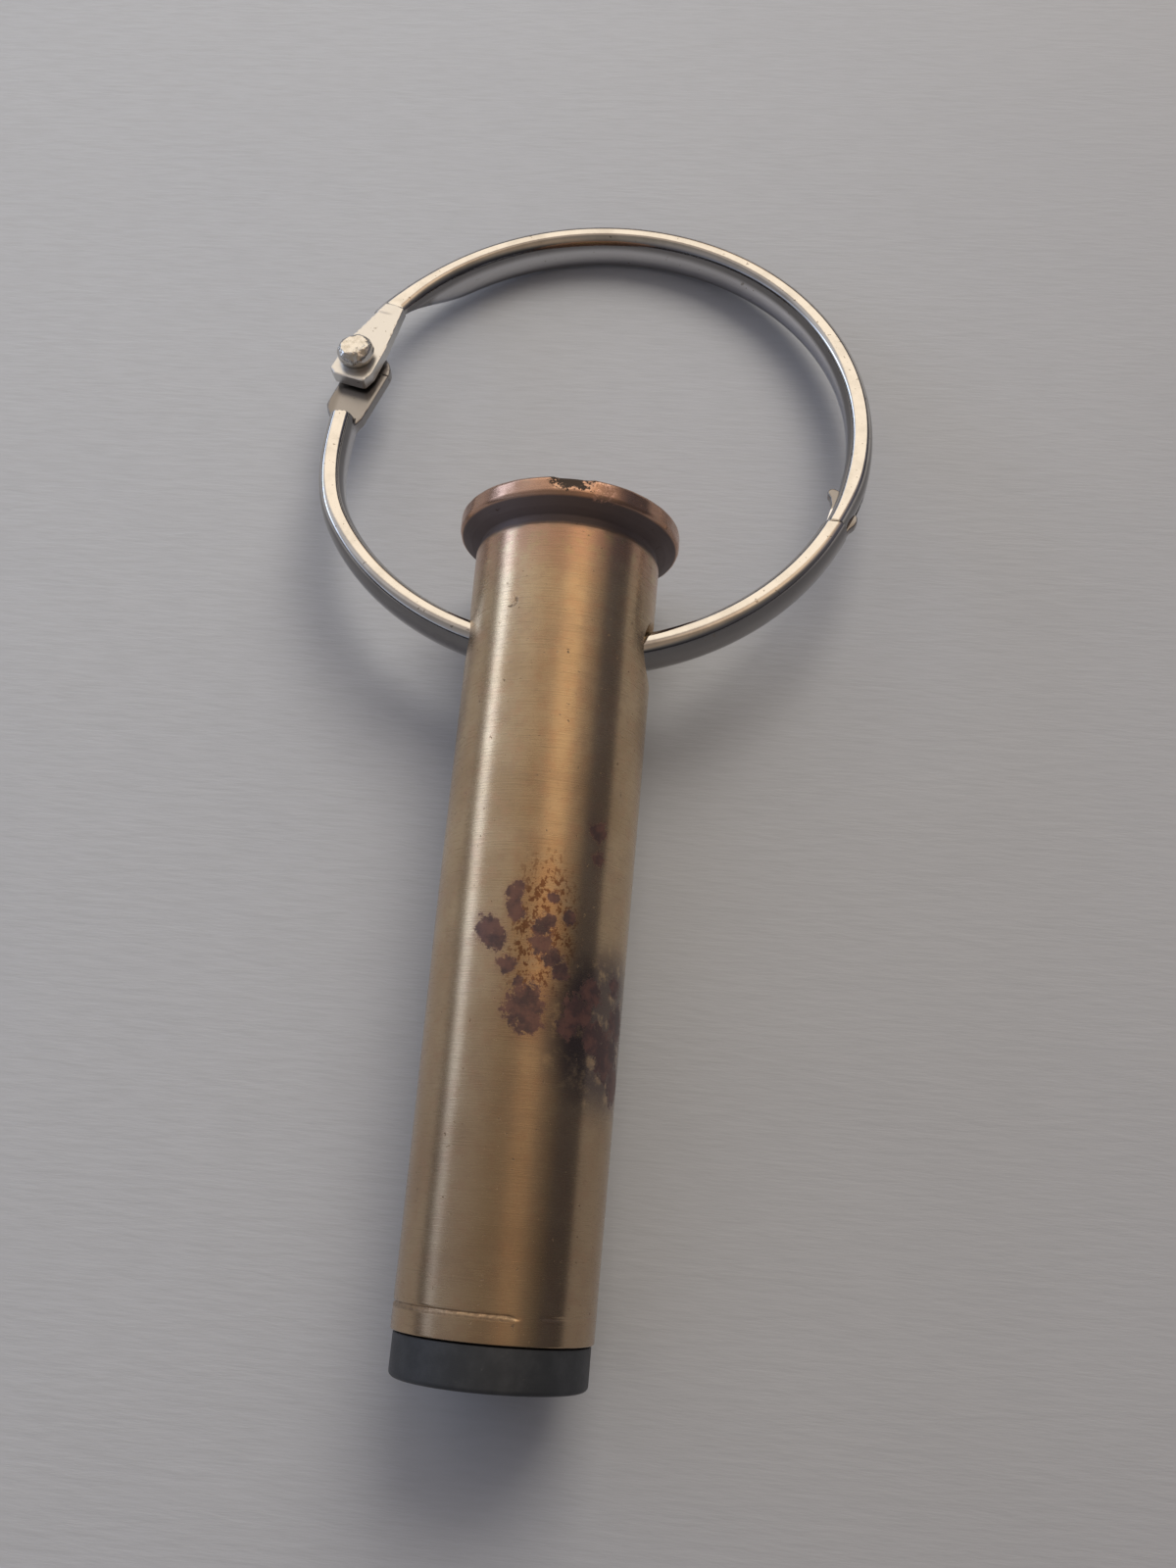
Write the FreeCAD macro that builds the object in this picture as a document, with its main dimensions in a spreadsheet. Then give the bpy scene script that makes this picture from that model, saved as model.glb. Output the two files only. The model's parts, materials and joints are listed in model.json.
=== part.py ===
import FreeCAD, Part
import math
import os
import Sketcher
from FreeCAD import Placement, Rotation, Vector

# Keychain flashlight: a straight rimmed brass cartridge case holds a small coin-cell light in its
# mouth, and a hinged split ring runs through a cross hole near its head.
#
# Frame of the part: it lies on its rim and its mouth on z = 0, +Y runs from the lens towards the
# head and the ring, +Z is up, and the origin is under the middle of the bounding box.
# Frame of a turned piece: Z is the case axis, measured from the back of the head to the mouth.
# Frame of a ring piece: the ring lies in XY about its own centre, +Y points away from the case.

DIMENSIONS = {
    # cartridge case
    "rim_radius": 7.72, "rim_edge": 0.30, "rim_band": 1.25, "rim_thickness": 1.78,
    "rim_root_radius": 6.85, "undercut_radius": 6.20, "undercut_start": 2.05,
    "undercut_end": 2.40, "body_start": 2.85, "body_radius": 6.415, "mouth_radius": 6.095,
    "case_length": 53.47, "crimp_station": 51.90, "crimp_width": 0.24, "crimp_depth": 0.07,
    "crimp_swell": 0.01, "mouth_bore": 5.80, "seat_depth": 8.20, "cavity_middle": 5.46,
    "cavity_middle_station": 26.0, "cavity_low": 4.80, "cavity_low_station": 10.0,
    "cavity_floor": 3.90, "web": 5.60, "pocket_radius": 2.67, "pocket_depth": 3.15,
    "flash_radius": 1.00, "hole_station": 9.25, "hole_radius": 2.15,
    # spent primer
    "primer_sink": 0.12, "primer_height": 2.95, "primer_wall": 0.55, "primer_gap": 0.01,
    "dent_radius": 0.95, "dent_depth": 0.45, "dent_floor_radius": 0.57, "dent_floor_rise": 0.11,
    "anvil_height": 1.30, "anvil_width": 1.10, "anvil_gap": 0.02,
    # sleeve that is pressed into the mouth
    "sleeve_gap": 0.02, "sleeve_step": 1.00, "sleeve_front": 53.30, "sleeve_back": 27.50,
    "sleeve_tube_radius": 5.30, "thread_bore": 5.06, "thread_floor": 44.90, "cell_bore": 4.45,
    # tail plug and spring
    "plug_length": 1.60, "plug_gap": 0.02, "plug_boss_radius": 1.20, "plug_boss_length": 0.90,
    "spring_wire": 0.22, "spring_base_radius": 3.20, "spring_pitch": 1.20, "spring_height": 3.84,
    "spring_cone": -22.0,
    # cells
    "cell_back": 33.40, "cell_radius": 3.95, "cell_height": 3.60, "cell_cap_radius": 2.90,
    "cell_step": 0.45, "cell_spacing": 3.62, "holder_bore": 4.00, "holder_radius": 4.40,
    "holder_length": 10.60,
    # head
    "bezel_radius": 5.93, "bezel_back": 53.56, "bezel_front": 56.06, "bezel_edge": 0.35,
    "bezel_lip_radius": 3.90, "bezel_lip": 0.45, "neck_radius": 5.00, "neck_back": 45.00,
    "neck_bore": 4.35, "groove_front": 53.20, "groove_back": 52.60, "groove_radius": 4.62,
    "ring_seal_wire": 0.20, "seal_gap": 0.01, "lens_gap": 0.02, "lens_thickness": 0.80,
    "lens_radius": 4.30, "gasket_wire": 0.30, "gasket_bore": 3.80, "reflector_gap": 0.03,
    "reflector_wall": 0.30, "reflector_back": 48.60, "reflector_throat": 2.62,
    "reflector_mouth": 3.70, "reflector_flange": 0.35,
    # board and lamp
    "board_back": 45.30, "board_thickness": 1.00, "board_radius": 4.28, "board_gap": 0.02,
    "lead_hole": 0.375, "track_radius": 3.55, "track_thickness": 0.25, "contact_height": 0.85,
    "contact_shoulder": 0.43, "contact_tip_radius": 0.72, "contact_radius": 0.96,
    "lamp_radius": 2.50, "lamp_flange_radius": 2.90, "lamp_flange": 1.00, "lamp_length": 7.90,
    "lead_width": 0.50, "lead_spacing": 2.54, "lead_tail": 1.15, "lead_top": 3.60,
    "post_top": 3.10, "cup_radius": 0.85, "cup_depth": 0.60, "chip_length": 2.00,
    "chip_width": 1.05, "chip_height": 0.50, "chip_offset": 3.60,
    # split ring
    "ring_radius": 20.00, "wire_radial": 0.98, "wire_axial": 1.60, "crossing_inset": 0.55,
    "ring_shift": 0.36, "closure_angle": 65.2, "wire_root_angle": -90.8,
    "pivot_angle": -106.2, "tab_root_angle": -119.9, "pivot_radius": 19.35, "seam_angle": 0.34,
    "plate_bottom": -0.50, "plate_thickness": 0.90, "plate_outer": 1.00, "plate_inner": 2.45,
    "plate_length": 5.95, "plate_shoulder": 0.95, "tab_bottom": 0.65, "tab_thickness": 0.95,
    "tab_shift": -0.15, "tab_half_width": 1.60, "tab_end": 2.05, "tab_corner": 0.60,
    "tab_waist": 1.60, "tab_length": 5.90, "tab_root_half_width": 0.80, "tab_root_shift": -0.45,
    "pin_radius": 0.75, "pin_bore": 0.80, "pin_head_gap": 0.03, "pin_head_radius": 1.38,
    "pin_head_height": 1.35, "pin_head_shoulder": 0.50, "pin_head_edge": 1.15,
    "pin_head_crown": 0.90, "pin_foot_gap": 0.02, "pin_foot_radius": 1.15,
    "pin_foot_flat": 0.92, "pin_foot_height": 0.35, "tongue_bottom": -0.75, "tongue_thickness": 0.70,
    "tongue_half_width": 0.80, "tongue_length": 3.95, "tongue_root": 1.50,
    "outer_ear_reach": 1.15, "outer_ear_station": 1.75, "outer_ear_half_length": 0.90,
    "inner_ear_reach": 2.20, "inner_ear_station": 3.25, "inner_ear_shoulder": 0.50,
    "inner_ear_start": 1.80, "slot_gap": 0.07, "slot_end_gap": 0.15,
}

doc = FreeCAD.newDocument("keychain_flashlight")
sheet = doc.addObject("Spreadsheet::Sheet", "dim")
sub_parts = []


def fill_sheet():
    """One row for each driving dimension: its name, its number, and the alias on the number."""
    for row, (name, value) in enumerate(DIMENSIONS.items(), start=1):
        sheet.set(f"A{row}", name)
        sheet.set(f"B{row}", str(value))
        sheet.setAlias(f"B{row}", name)
    doc.recompute()


def number(expression):
    """The number that an expression on the sheet's cells gives."""
    value = sheet.evalExpression(expression)
    return float(getattr(value, "Value", value))


def keep(piece, label, placement):
    """Name a finished sub-part and put it where it belongs in the assembly."""
    piece.Label = label
    piece.Placement = placement
    sub_parts.append(piece)
    return piece


def case_placement():
    """Lay the case axis down so that the rim's front edge and the mouth both touch z = 0."""
    tilt = math.atan((number("dim.rim_radius") - number("dim.mouth_radius"))
                     / (number("dim.case_length") - number("dim.rim_band")))
    height = number("dim.rim_radius") * math.cos(tilt) + number("dim.rim_band") * math.sin(tilt)
    swing = ring_swing(height, tilt)
    wire = math.hypot(number("dim.wire_radial") * math.cos(swing),
                      number("dim.wire_axial") * math.sin(swing))
    back = ring_reach() * math.cos(swing) + wire - number("dim.hole_station") * math.cos(tilt)
    front = (number("dim.bezel_front") * math.cos(tilt)
             + (number("dim.bezel_radius") - number("dim.bezel_edge")) * math.sin(tilt))
    base = Vector(-number("dim.ring_shift"), (front - back) / 2, height)
    return Placement(base, Rotation(Vector(1, 0, 0), 90 + math.degrees(tilt)))


def ring_reach():
    """Distance from the cross hole to the middle of the wire on the ring's far side."""
    return 2 * number("dim.ring_radius") - number("dim.crossing_inset")


def ring_swing(height, tilt):
    """Angle below level at which the far side of the ring comes to rest on z = 0."""
    hole_height = height - number("dim.hole_station") * math.sin(tilt)
    return math.asin((hole_height - number("dim.wire_axial")) / ring_reach())


def ring_placement():
    """The ring hangs in the cross hole, a little to one side of the case's axis, and leans down
    until its far side rests on z = 0."""
    case = case_placement()
    tilt = math.radians(math.degrees(case.Rotation.Angle) - 90)
    swing = ring_swing(case.Base.z, tilt)
    hole = case.multVec(Vector(0, 0, number("dim.hole_station")))
    centre_offset = number("dim.ring_radius") - number("dim.crossing_inset")
    away = Vector(0, math.cos(swing), -math.sin(swing))
    aside = Vector(number("dim.ring_shift"), 0, 0)
    return Placement(hole + away * centre_offset + aside,
                     Rotation(Vector(1, 0, 0), -math.degrees(swing)))


def turn_about_ring(expression):
    """Placement of a ring piece whose own start lies at this angle from the case's side."""
    return ring_placement() * Placement(Vector(), Rotation(Vector(0, 0, 1), number(expression) - 90))


def origin_plane(body, role):
    """The base plane of a body that has this role."""
    return next(item for item in body.Origin.OriginFeatures if item.Role == role)


def new_body(name):
    return doc.addObject("PartDesign::Body", name + "_body")


def new_sketch(body, name, role):
    """A sketch that lies on one of its own body's base planes."""
    sketch = body.newObject("Sketcher::SketchObject", name)
    sketch.AttachmentSupport = (origin_plane(body, role), [""])
    sketch.MapMode = "FlatFace"
    return sketch


def shift_sketch(sketch, shifts):
    """Move or turn a sketch on its plane by expressions, keyed by the offset's property."""
    for member, expression in shifts.items():
        sketch.setExpression("AttachmentOffset." + member, expression)


def tie(sketch, kind, geometry, end, expression):
    """Tie one point of a sketch to an expression across (DistanceX) or up (DistanceY)."""
    value = number(expression)
    if abs(value) < 1e-9:
        axis = -2 if kind == "DistanceX" else -1
        sketch.addConstraint(Sketcher.Constraint("PointOnObject", geometry, end, axis))
        return
    index = sketch.addConstraint(Sketcher.Constraint(kind, -1, 1, geometry, end, value))
    sketch.setExpression(f"Constraints[{index}]", expression)


def place_point(sketch, geometry, end, across, up):
    """Tie one point of a sketch to two expressions measured from its origin."""
    tie(sketch, "DistanceX", geometry, end, across)
    tie(sketch, "DistanceY", geometry, end, up)


def draw_outline(sketch, corners):
    """A closed outline of straight lines, each corner given by two expressions."""
    points = [Vector(number(across), number(up), 0) for across, up in corners]
    count = len(points)
    for index in range(count):
        sketch.addGeometry(Part.LineSegment(points[index], points[(index + 1) % count]), False)
    for index in range(count):
        follower = (index + 1) % count
        sketch.addConstraint(Sketcher.Constraint("Coincident", index, 2, follower, 1))
    for index, (across, up) in enumerate(corners):
        place_point(sketch, index, 1, across, up)


def draw_circle(sketch, across, up, radius):
    """A circle whose centre and radius are expressions."""
    centre = Vector(number(across), number(up), 0)
    circle = sketch.addGeometry(Part.Circle(centre, Vector(0, 0, 1), number(radius)), False)
    place_point(sketch, circle, 3, across, up)
    index = sketch.addConstraint(Sketcher.Constraint("Radius", circle, number(radius)))
    sketch.setExpression(f"Constraints[{index}]", radius)


def revolve(body, sketch, kind="PartDesign::Revolution"):
    """Turn a sketch right round its own vertical axis."""
    feature = body.newObject(kind, sketch.Name + "_turn")
    feature.Profile = sketch
    feature.ReferenceAxis = (sketch, ["V_Axis"])
    feature.Angle = 360
    doc.recompute()
    return feature


def turned_piece(label, corners, placement):
    """A body made by turning one outline of (radius, station) corners about the case axis."""
    body = new_body(label)
    sketch = new_sketch(body, label + "_profile", "XZ_Plane")
    draw_outline(sketch, corners)
    revolve(body, sketch)
    return keep(body, label, placement)


def pad(body, sketch, length, base=None):
    """Raise a sketch by an expression, upwards from its plane or from a base height."""
    if base is not None:
        shift_sketch(sketch, {"Base.z": base})
    feature = body.newObject("PartDesign::Pad", sketch.Name + "_pad")
    feature.Profile = sketch
    feature.setExpression("Length", length)
    doc.recompute()
    return feature


def cut_both_ways(body, sketch):
    """Cut a sketch through the whole body, on both sides of its plane."""
    before = body.Shape.Volume
    feature = body.newObject("PartDesign::Pocket", sketch.Name + "_cut")
    feature.Profile = sketch
    feature.Type = "ThroughAll"
    feature.Midplane = True
    doc.recompute()
    if not body.Shape.Volume < before:
        raise ValueError(f"{feature.Name} removes nothing")
    return feature


def round_edges(body, radius, wanted):
    """Fillet the circular edges of the body's last feature that lie on the wanted circles."""
    doc.recompute()
    tip = body.Tip
    names = []
    for index, edge in enumerate(tip.Shape.Edges, start=1):
        if not isinstance(edge.Curve, Part.Circle):
            continue
        for circle_radius, station in wanted:
            same_size = abs(edge.Curve.Radius - number(circle_radius)) < 1e-4
            same_place = abs(edge.Curve.Center.z - number(station)) < 1e-4
            if same_size and same_place:
                names.append(f"Edge{index}")
    feature = body.newObject("PartDesign::Fillet", body.Name + "_round")
    feature.Base = (tip, names)
    feature.setExpression("Radius", radius)
    doc.recompute()


# ---------------------------------------------------------------------- case and primer

def make_case(placement):
    """Head with rim and primer pocket, tapered body, crimp line, cavity and cross hole."""
    body = new_body("cartridge_case")
    sketch = new_sketch(body, "case_profile", "XZ_Plane")
    crimp_radius = "dim.mouth_radius + dim.crimp_swell"
    draw_outline(sketch, [
        ("dim.pocket_radius", "0"),
        ("dim.rim_radius", "0"),
        ("dim.rim_radius", "dim.rim_band"),
        ("dim.rim_root_radius", "dim.rim_thickness"),
        ("dim.undercut_radius", "dim.undercut_start"),
        ("dim.undercut_radius", "dim.undercut_end"),
        ("dim.body_radius", "dim.body_start"),
        (crimp_radius, "dim.crimp_station - dim.crimp_width / 2"),
        (crimp_radius + " - dim.crimp_depth", "dim.crimp_station"),
        (crimp_radius, "dim.crimp_station + dim.crimp_width / 2"),
        ("dim.mouth_radius", "dim.case_length"),
        ("dim.mouth_bore", "dim.case_length"),
        ("dim.mouth_bore", "dim.case_length - dim.seat_depth"),
        ("dim.cavity_middle", "dim.cavity_middle_station"),
        ("dim.cavity_low", "dim.cavity_low_station"),
        ("dim.cavity_floor", "dim.web"),
        ("dim.flash_radius", "dim.web"),
        ("dim.flash_radius", "dim.pocket_depth"),
        ("dim.pocket_radius", "dim.pocket_depth"),
    ])
    revolve(body, sketch)
    round_edges(body, "dim.rim_edge", [("dim.rim_radius", "0"), ("dim.rim_radius", "dim.rim_band")])
    hole = new_sketch(body, "case_cross_hole", "YZ_Plane")
    draw_circle(hole, "0", "dim.hole_station", "dim.hole_radius")
    cut_both_ways(body, hole)
    return keep(body, "cartridge_case", placement)


def make_primer(placement):
    """A struck primer cup, and the anvil that stands inside it."""
    outer = "dim.pocket_radius - dim.primer_gap"
    inner = outer + " - dim.primer_wall"
    back = "dim.primer_sink"
    front = "dim.primer_sink + dim.primer_height"
    turned_piece("primer_cup", [
        ("0", back + " + dim.dent_depth"),
        ("dim.dent_floor_radius", back + " + dim.dent_depth - dim.dent_floor_rise"),
        ("dim.dent_radius", back),
        (outer, back),
        (outer, front),
        (inner, front),
        (inner, back + " + dim.dent_depth + dim.primer_wall"),
        ("0", back + " + dim.dent_depth + dim.primer_wall"),
    ], placement)
    anvil_radius = inner + " - dim.anvil_gap"
    turned_piece("primer_anvil", [
        ("0", front + " - dim.anvil_height"),
        ("dim.anvil_width / 2", front + " - dim.anvil_height"),
        (anvil_radius, front + " - dim.anvil_height / 3"),
        (anvil_radius, front),
        ("0", front),
    ], placement)


# ---------------------------------------------------------------------- battery sleeve

def make_sleeve(placement):
    """Metal sleeve: pressed in the mouth in front, narrower round the cells behind."""
    seat = "dim.mouth_bore - dim.sleeve_gap"
    step = "dim.case_length - dim.seat_depth + dim.sleeve_step"
    turned_piece("threaded_sleeve", [
        ("dim.thread_bore", "dim.thread_floor"),
        ("dim.thread_bore", "dim.sleeve_front"),
        (seat, "dim.sleeve_front"),
        (seat, step),
        ("dim.sleeve_tube_radius", step),
        ("dim.sleeve_tube_radius", "dim.sleeve_back"),
        ("dim.cell_bore", "dim.sleeve_back"),
        ("dim.cell_bore", "dim.thread_floor"),
    ], placement)


def make_tail(placement):
    """Plug that closes the sleeve's back, with a boss that keeps the spring central."""
    plug_front = "dim.sleeve_back + dim.plug_length"
    turned_piece("tail_plug", [
        ("0", "dim.sleeve_back"),
        ("dim.cell_bore - dim.plug_gap", "dim.sleeve_back"),
        ("dim.cell_bore - dim.plug_gap", plug_front),
        ("dim.plug_boss_radius", plug_front),
        ("dim.plug_boss_radius", plug_front + " + dim.plug_boss_length"),
        ("0", plug_front + " + dim.plug_boss_length"),
    ], placement)
    make_spring(placement)


def make_spring(placement):
    """Conical spring that pushes the cells forward and carries their current."""
    start = "dim.sleeve_back + dim.plug_length + dim.spring_wire"
    helix = doc.addObject("Part::Helix", "spring_path")
    helix.setExpression("Pitch", "dim.spring_pitch")
    helix.setExpression("Height", "dim.spring_height")
    helix.setExpression("Radius", "dim.spring_base_radius")
    helix.setExpression("Angle", "dim.spring_cone")
    helix.setExpression("Placement.Base.z", start)
    wire = doc.addObject("Part::Circle", "spring_wire_section")
    wire.setExpression("Radius", "dim.spring_wire")
    wire.setExpression("Placement.Base.x", "dim.spring_base_radius")
    wire.setExpression("Placement.Base.z", start)
    wire.Placement.Rotation = Rotation(Vector(1, 0, 0), 90)
    sweep = doc.addObject("Part::Sweep", "tail_spring_sweep")
    sweep.Sections = [wire]
    sweep.Spine = (helix, [])
    sweep.Solid = True
    sweep.Frenet = True
    doc.recompute()
    keep(sweep, "tail_spring", placement)


def make_cells(placement):
    """Three button cells in a row inside an insulating holder."""
    for index in range(3):
        back = f"dim.cell_back + {index} * dim.cell_spacing"
        front = back + " + dim.cell_height"
        turned_piece(f"cell_{index + 1}", [
            ("0", back),
            ("dim.cell_cap_radius", back),
            ("dim.cell_cap_radius", back + " + dim.cell_step"),
            ("dim.cell_radius", back + " + dim.cell_step"),
            ("dim.cell_radius", front),
            ("0", front),
        ], placement)
    holder_front = "dim.cell_back + dim.holder_length"
    turned_piece("cell_holder", [
        ("dim.holder_bore", "dim.cell_back"),
        ("dim.holder_radius", "dim.cell_back"),
        ("dim.holder_radius", holder_front),
        ("dim.holder_bore", holder_front),
    ], placement)


# ---------------------------------------------------------------------- light head

def make_bezel(placement):
    """Smooth collar with a front lip, and the neck that turns in the sleeve."""
    body = new_body("bezel")
    sketch = new_sketch(body, "bezel_profile", "XZ_Plane")
    draw_outline(sketch, [
        ("dim.neck_bore", "dim.neck_back"),
        ("dim.neck_radius", "dim.neck_back"),
        ("dim.neck_radius", "dim.groove_back"),
        ("dim.groove_radius", "dim.groove_back"),
        ("dim.groove_radius", "dim.groove_front"),
        ("dim.neck_radius", "dim.groove_front"),
        ("dim.neck_radius", "dim.bezel_back"),
        ("dim.bezel_radius", "dim.bezel_back"),
        ("dim.bezel_radius", "dim.bezel_front"),
        ("dim.bezel_lip_radius", "dim.bezel_front"),
        ("dim.bezel_lip_radius", "dim.bezel_front - dim.bezel_lip"),
        ("dim.neck_bore", "dim.bezel_front - dim.bezel_lip"),
    ])
    revolve(body, sketch)
    round_edges(body, "dim.bezel_edge", [("dim.bezel_radius", "dim.bezel_front")])
    keep(body, "bezel", placement)


def make_seal(label, radius, station, wire, placement):
    """A rubber ring of round section about the case axis."""
    body = new_body(label)
    sketch = new_sketch(body, label + "_section", "XZ_Plane")
    draw_circle(sketch, radius, station, wire)
    revolve(body, sketch)
    keep(body, label, placement)


def make_optics(placement):
    """Front window, its gasket and the cup reflector round the lamp."""
    lens_front = "dim.bezel_front - dim.bezel_lip - dim.lens_gap"
    lens_back = lens_front + " - dim.lens_thickness"
    rim = lens_back + " - 2 * dim.gasket_wire - 2 * dim.seal_gap"
    turned_piece("front_lens", [
        ("0", lens_back),
        ("dim.lens_radius", lens_back),
        ("dim.lens_radius", lens_front),
        ("0", lens_front),
    ], placement)
    make_seal("lens_gasket", "dim.gasket_bore + dim.gasket_wire / 2",
              lens_back + " - dim.gasket_wire - dim.seal_gap", "dim.gasket_wire", placement)
    flange_radius = "dim.neck_bore - dim.reflector_gap"
    turned_piece("reflector", [
        ("dim.reflector_throat", "dim.reflector_back"),
        ("dim.reflector_throat + dim.reflector_wall", "dim.reflector_back"),
        ("dim.reflector_mouth + dim.reflector_wall", rim + " - dim.reflector_flange"),
        (flange_radius, rim + " - dim.reflector_flange"),
        (flange_radius, rim),
        ("dim.reflector_mouth", rim),
    ], placement)


def local_cylinder(name, radius, height, across, station):
    """A cylinder along the case axis, set off sideways and along it by expressions."""
    solid = doc.addObject("Part::Cylinder", name)
    solid.setExpression("Radius", radius)
    solid.setExpression("Height", height)
    solid.setExpression("Placement.Base.x", across)
    solid.setExpression("Placement.Base.z", station)
    return solid


def local_box(name, size, across, depth, station):
    """A box centred across, with its back face at a station on the case axis."""
    solid = doc.addObject("Part::Box", name)
    for side, expression in zip(("Length", "Width", "Height"), size):
        solid.setExpression(side, expression)
    solid.setExpression("Placement.Base.x", f"{across} - ({size[0]}) / 2")
    solid.setExpression("Placement.Base.y", f"{depth} - ({size[1]}) / 2")
    solid.setExpression("Placement.Base.z", station)
    return solid


def fuse(name, solids):
    """The solids joined, in the case's frame."""
    joined = doc.addObject("Part::MultiFuse", name)
    joined.Shapes = solids
    return joined


def make_lamp(placement):
    """Five-millimetre lamp: clear domed body cast round two metal legs, one with the die cup."""
    seat = "dim.board_back + dim.board_thickness + dim.board_gap"
    leg = ("dim.lead_width", "dim.lead_width", "dim.lead_tail + dim.lead_top")
    post = ("dim.lead_width", "dim.lead_width", "dim.lead_tail + dim.post_top")
    half = "dim.lead_spacing / 2"
    foot = seat + " - dim.lead_tail"
    cathode = local_box("cathode_leg", leg, half, "0", foot)
    anode = local_box("anode_leg", post, "-" + half, "0", foot)
    reach = "(" + half + " + dim.lead_width / 2)"
    neck = local_box("cup_neck", (reach, "dim.lead_width", "dim.lead_width"), reach + " / 2", "0",
                     seat + " + dim.lead_top - dim.lead_width / 2")
    cup = local_cylinder("die_cup", "dim.cup_radius", "dim.cup_depth", "0", seat + " + dim.lead_top")
    legs = fuse("lamp_legs", [cathode, anode, neck, cup])
    mould = fuse("lamp_legs_mould", [cathode, anode, neck, cup])
    barrel = local_cylinder("lamp_barrel", "dim.lamp_radius", "dim.lamp_length - dim.lamp_radius",
                            "0", seat)
    flange = local_cylinder("lamp_flange", "dim.lamp_flange_radius", "dim.lamp_flange", "0", seat)
    dome = doc.addObject("Part::Sphere", "lamp_dome")
    dome.setExpression("Radius", "dim.lamp_radius")
    dome.setExpression("Placement.Base.z", seat + " + dim.lamp_length - dim.lamp_radius")
    cast = fuse("lamp_cast", [barrel, flange, dome])
    clear = doc.addObject("Part::Cut", "lamp_body_cut")
    clear.Base = cast
    clear.Tool = mould
    doc.recompute()
    keep(legs, "lamp_leads", placement)
    keep(clear, "lamp_body", placement)


def make_board(placement):
    """Round circuit board with its contacts and the resistor beside the lamp."""
    body = new_body("circuit_board")
    sketch = new_sketch(body, "board_outline", "XY_Plane")
    draw_circle(sketch, "0", "0", "dim.board_radius")
    for sign in ("", "-"):
        draw_circle(sketch, sign + "dim.lead_spacing / 2", "0", "dim.lead_hole")
    pad(body, sketch, "dim.board_thickness", "dim.board_back")
    keep(body, "circuit_board", placement)
    turned_piece("ground_track", [
        ("dim.track_radius", "dim.board_back - dim.track_thickness"),
        ("dim.board_radius", "dim.board_back - dim.track_thickness"),
        ("dim.board_radius", "dim.board_back"),
        ("dim.track_radius", "dim.board_back"),
    ], placement)
    turned_piece("centre_contact", [
        ("0", "dim.board_back - dim.contact_height"),
        ("dim.contact_tip_radius", "dim.board_back - dim.contact_height"),
        ("dim.contact_radius", "dim.board_back - dim.contact_shoulder"),
        ("dim.contact_radius", "dim.board_back - dim.board_gap"),
        ("0", "dim.board_back - dim.board_gap"),
    ], placement)
    front = "dim.board_back + dim.board_thickness + dim.board_gap"
    chip = local_box("resistor_chip", ("dim.chip_length", "dim.chip_width", "dim.chip_height"),
                     "0", "dim.chip_offset", front)
    doc.recompute()
    place = placement * chip.Placement
    chip.setExpression("Placement.Base.x", None)
    chip.setExpression("Placement.Base.y", None)
    chip.setExpression("Placement.Base.z", None)
    keep(chip, "resistor", place)


# ---------------------------------------------------------------------- split ring

def ring_wire(body, name, span):
    """Oval wire that runs from the body's own X axis round its Z axis by an angle."""
    sketch = new_sketch(body, name + "_section", "XZ_Plane")
    ring_radius = number("dim.ring_radius")
    major = Vector(ring_radius, number("dim.wire_axial"), 0)
    minor = Vector(ring_radius - number("dim.wire_radial"), 0, 0)
    oval = sketch.addGeometry(Part.Ellipse(major, minor, Vector(ring_radius, 0, 0)), False)
    sketch.exposeInternalGeometry(oval)
    place_point(sketch, oval, 3, "dim.ring_radius", "0")
    place_point(sketch, oval + 1, 1, "dim.ring_radius", "dim.wire_axial")
    tie(sketch, "DistanceX", oval + 2, 1, "dim.ring_radius - dim.wire_radial")
    feature = body.newObject("PartDesign::Revolution", name + "_wire")
    feature.Profile = sketch
    feature.ReferenceAxis = (sketch, ["V_Axis"])
    feature.setExpression("Angle", span)
    doc.recompute()
    return feature


def end_frame(sketch, radius, angle):
    """Put a flat sketch at a radius and an angle on the ring, X outwards, Y along the wire."""
    shift_sketch(sketch, {
        "Base.x": f"({radius}) * cos(({angle}) * 1 deg)",
        "Base.y": f"({radius}) * sin(({angle}) * 1 deg)",
        "Rotation.Angle": f"({angle}) * 1 deg",
    })


def make_lower_arm():
    """Lower arm: oval wire, flattened hinge plate at one end and locking tongue at the other."""
    body = new_body("ring_lower_arm")
    root = "360 + dim.wire_root_angle"
    span = f"dim.closure_angle - ({root}) + 360"
    ring_wire(body, "lower_arm", span)
    plate = new_sketch(body, "hinge_plate", "XY_Plane")
    end_frame(plate, "dim.pivot_radius", "dim.pivot_angle - dim.wire_root_angle")
    draw_plate(plate)
    pad(body, plate, "dim.plate_thickness", "dim.plate_bottom")
    tongue = new_sketch(body, "lock_tongue", "XY_Plane")
    end_frame(tongue, "dim.ring_radius", span)
    width = "dim.tongue_half_width"
    tip = "dim.tongue_length"
    draw_outline(tongue, [
        ("-" + width, "-dim.tongue_root"),
        (width, "-dim.tongue_root"),
        (width, "dim.outer_ear_station - dim.outer_ear_half_length"),
        ("dim.outer_ear_reach", "dim.outer_ear_station"),
        (width, "dim.outer_ear_station + dim.outer_ear_half_length"),
        ("0", tip),
        ("-dim.inner_ear_reach + dim.inner_ear_shoulder", tip),
        ("-dim.inner_ear_reach", "dim.inner_ear_station"),
        ("-" + width, "dim.inner_ear_start"),
    ])
    pad(body, tongue, "dim.tongue_thickness", "dim.tongue_bottom")
    keep(body, "ring_lower_arm", turn_about_ring("dim.wire_root_angle"))


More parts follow.
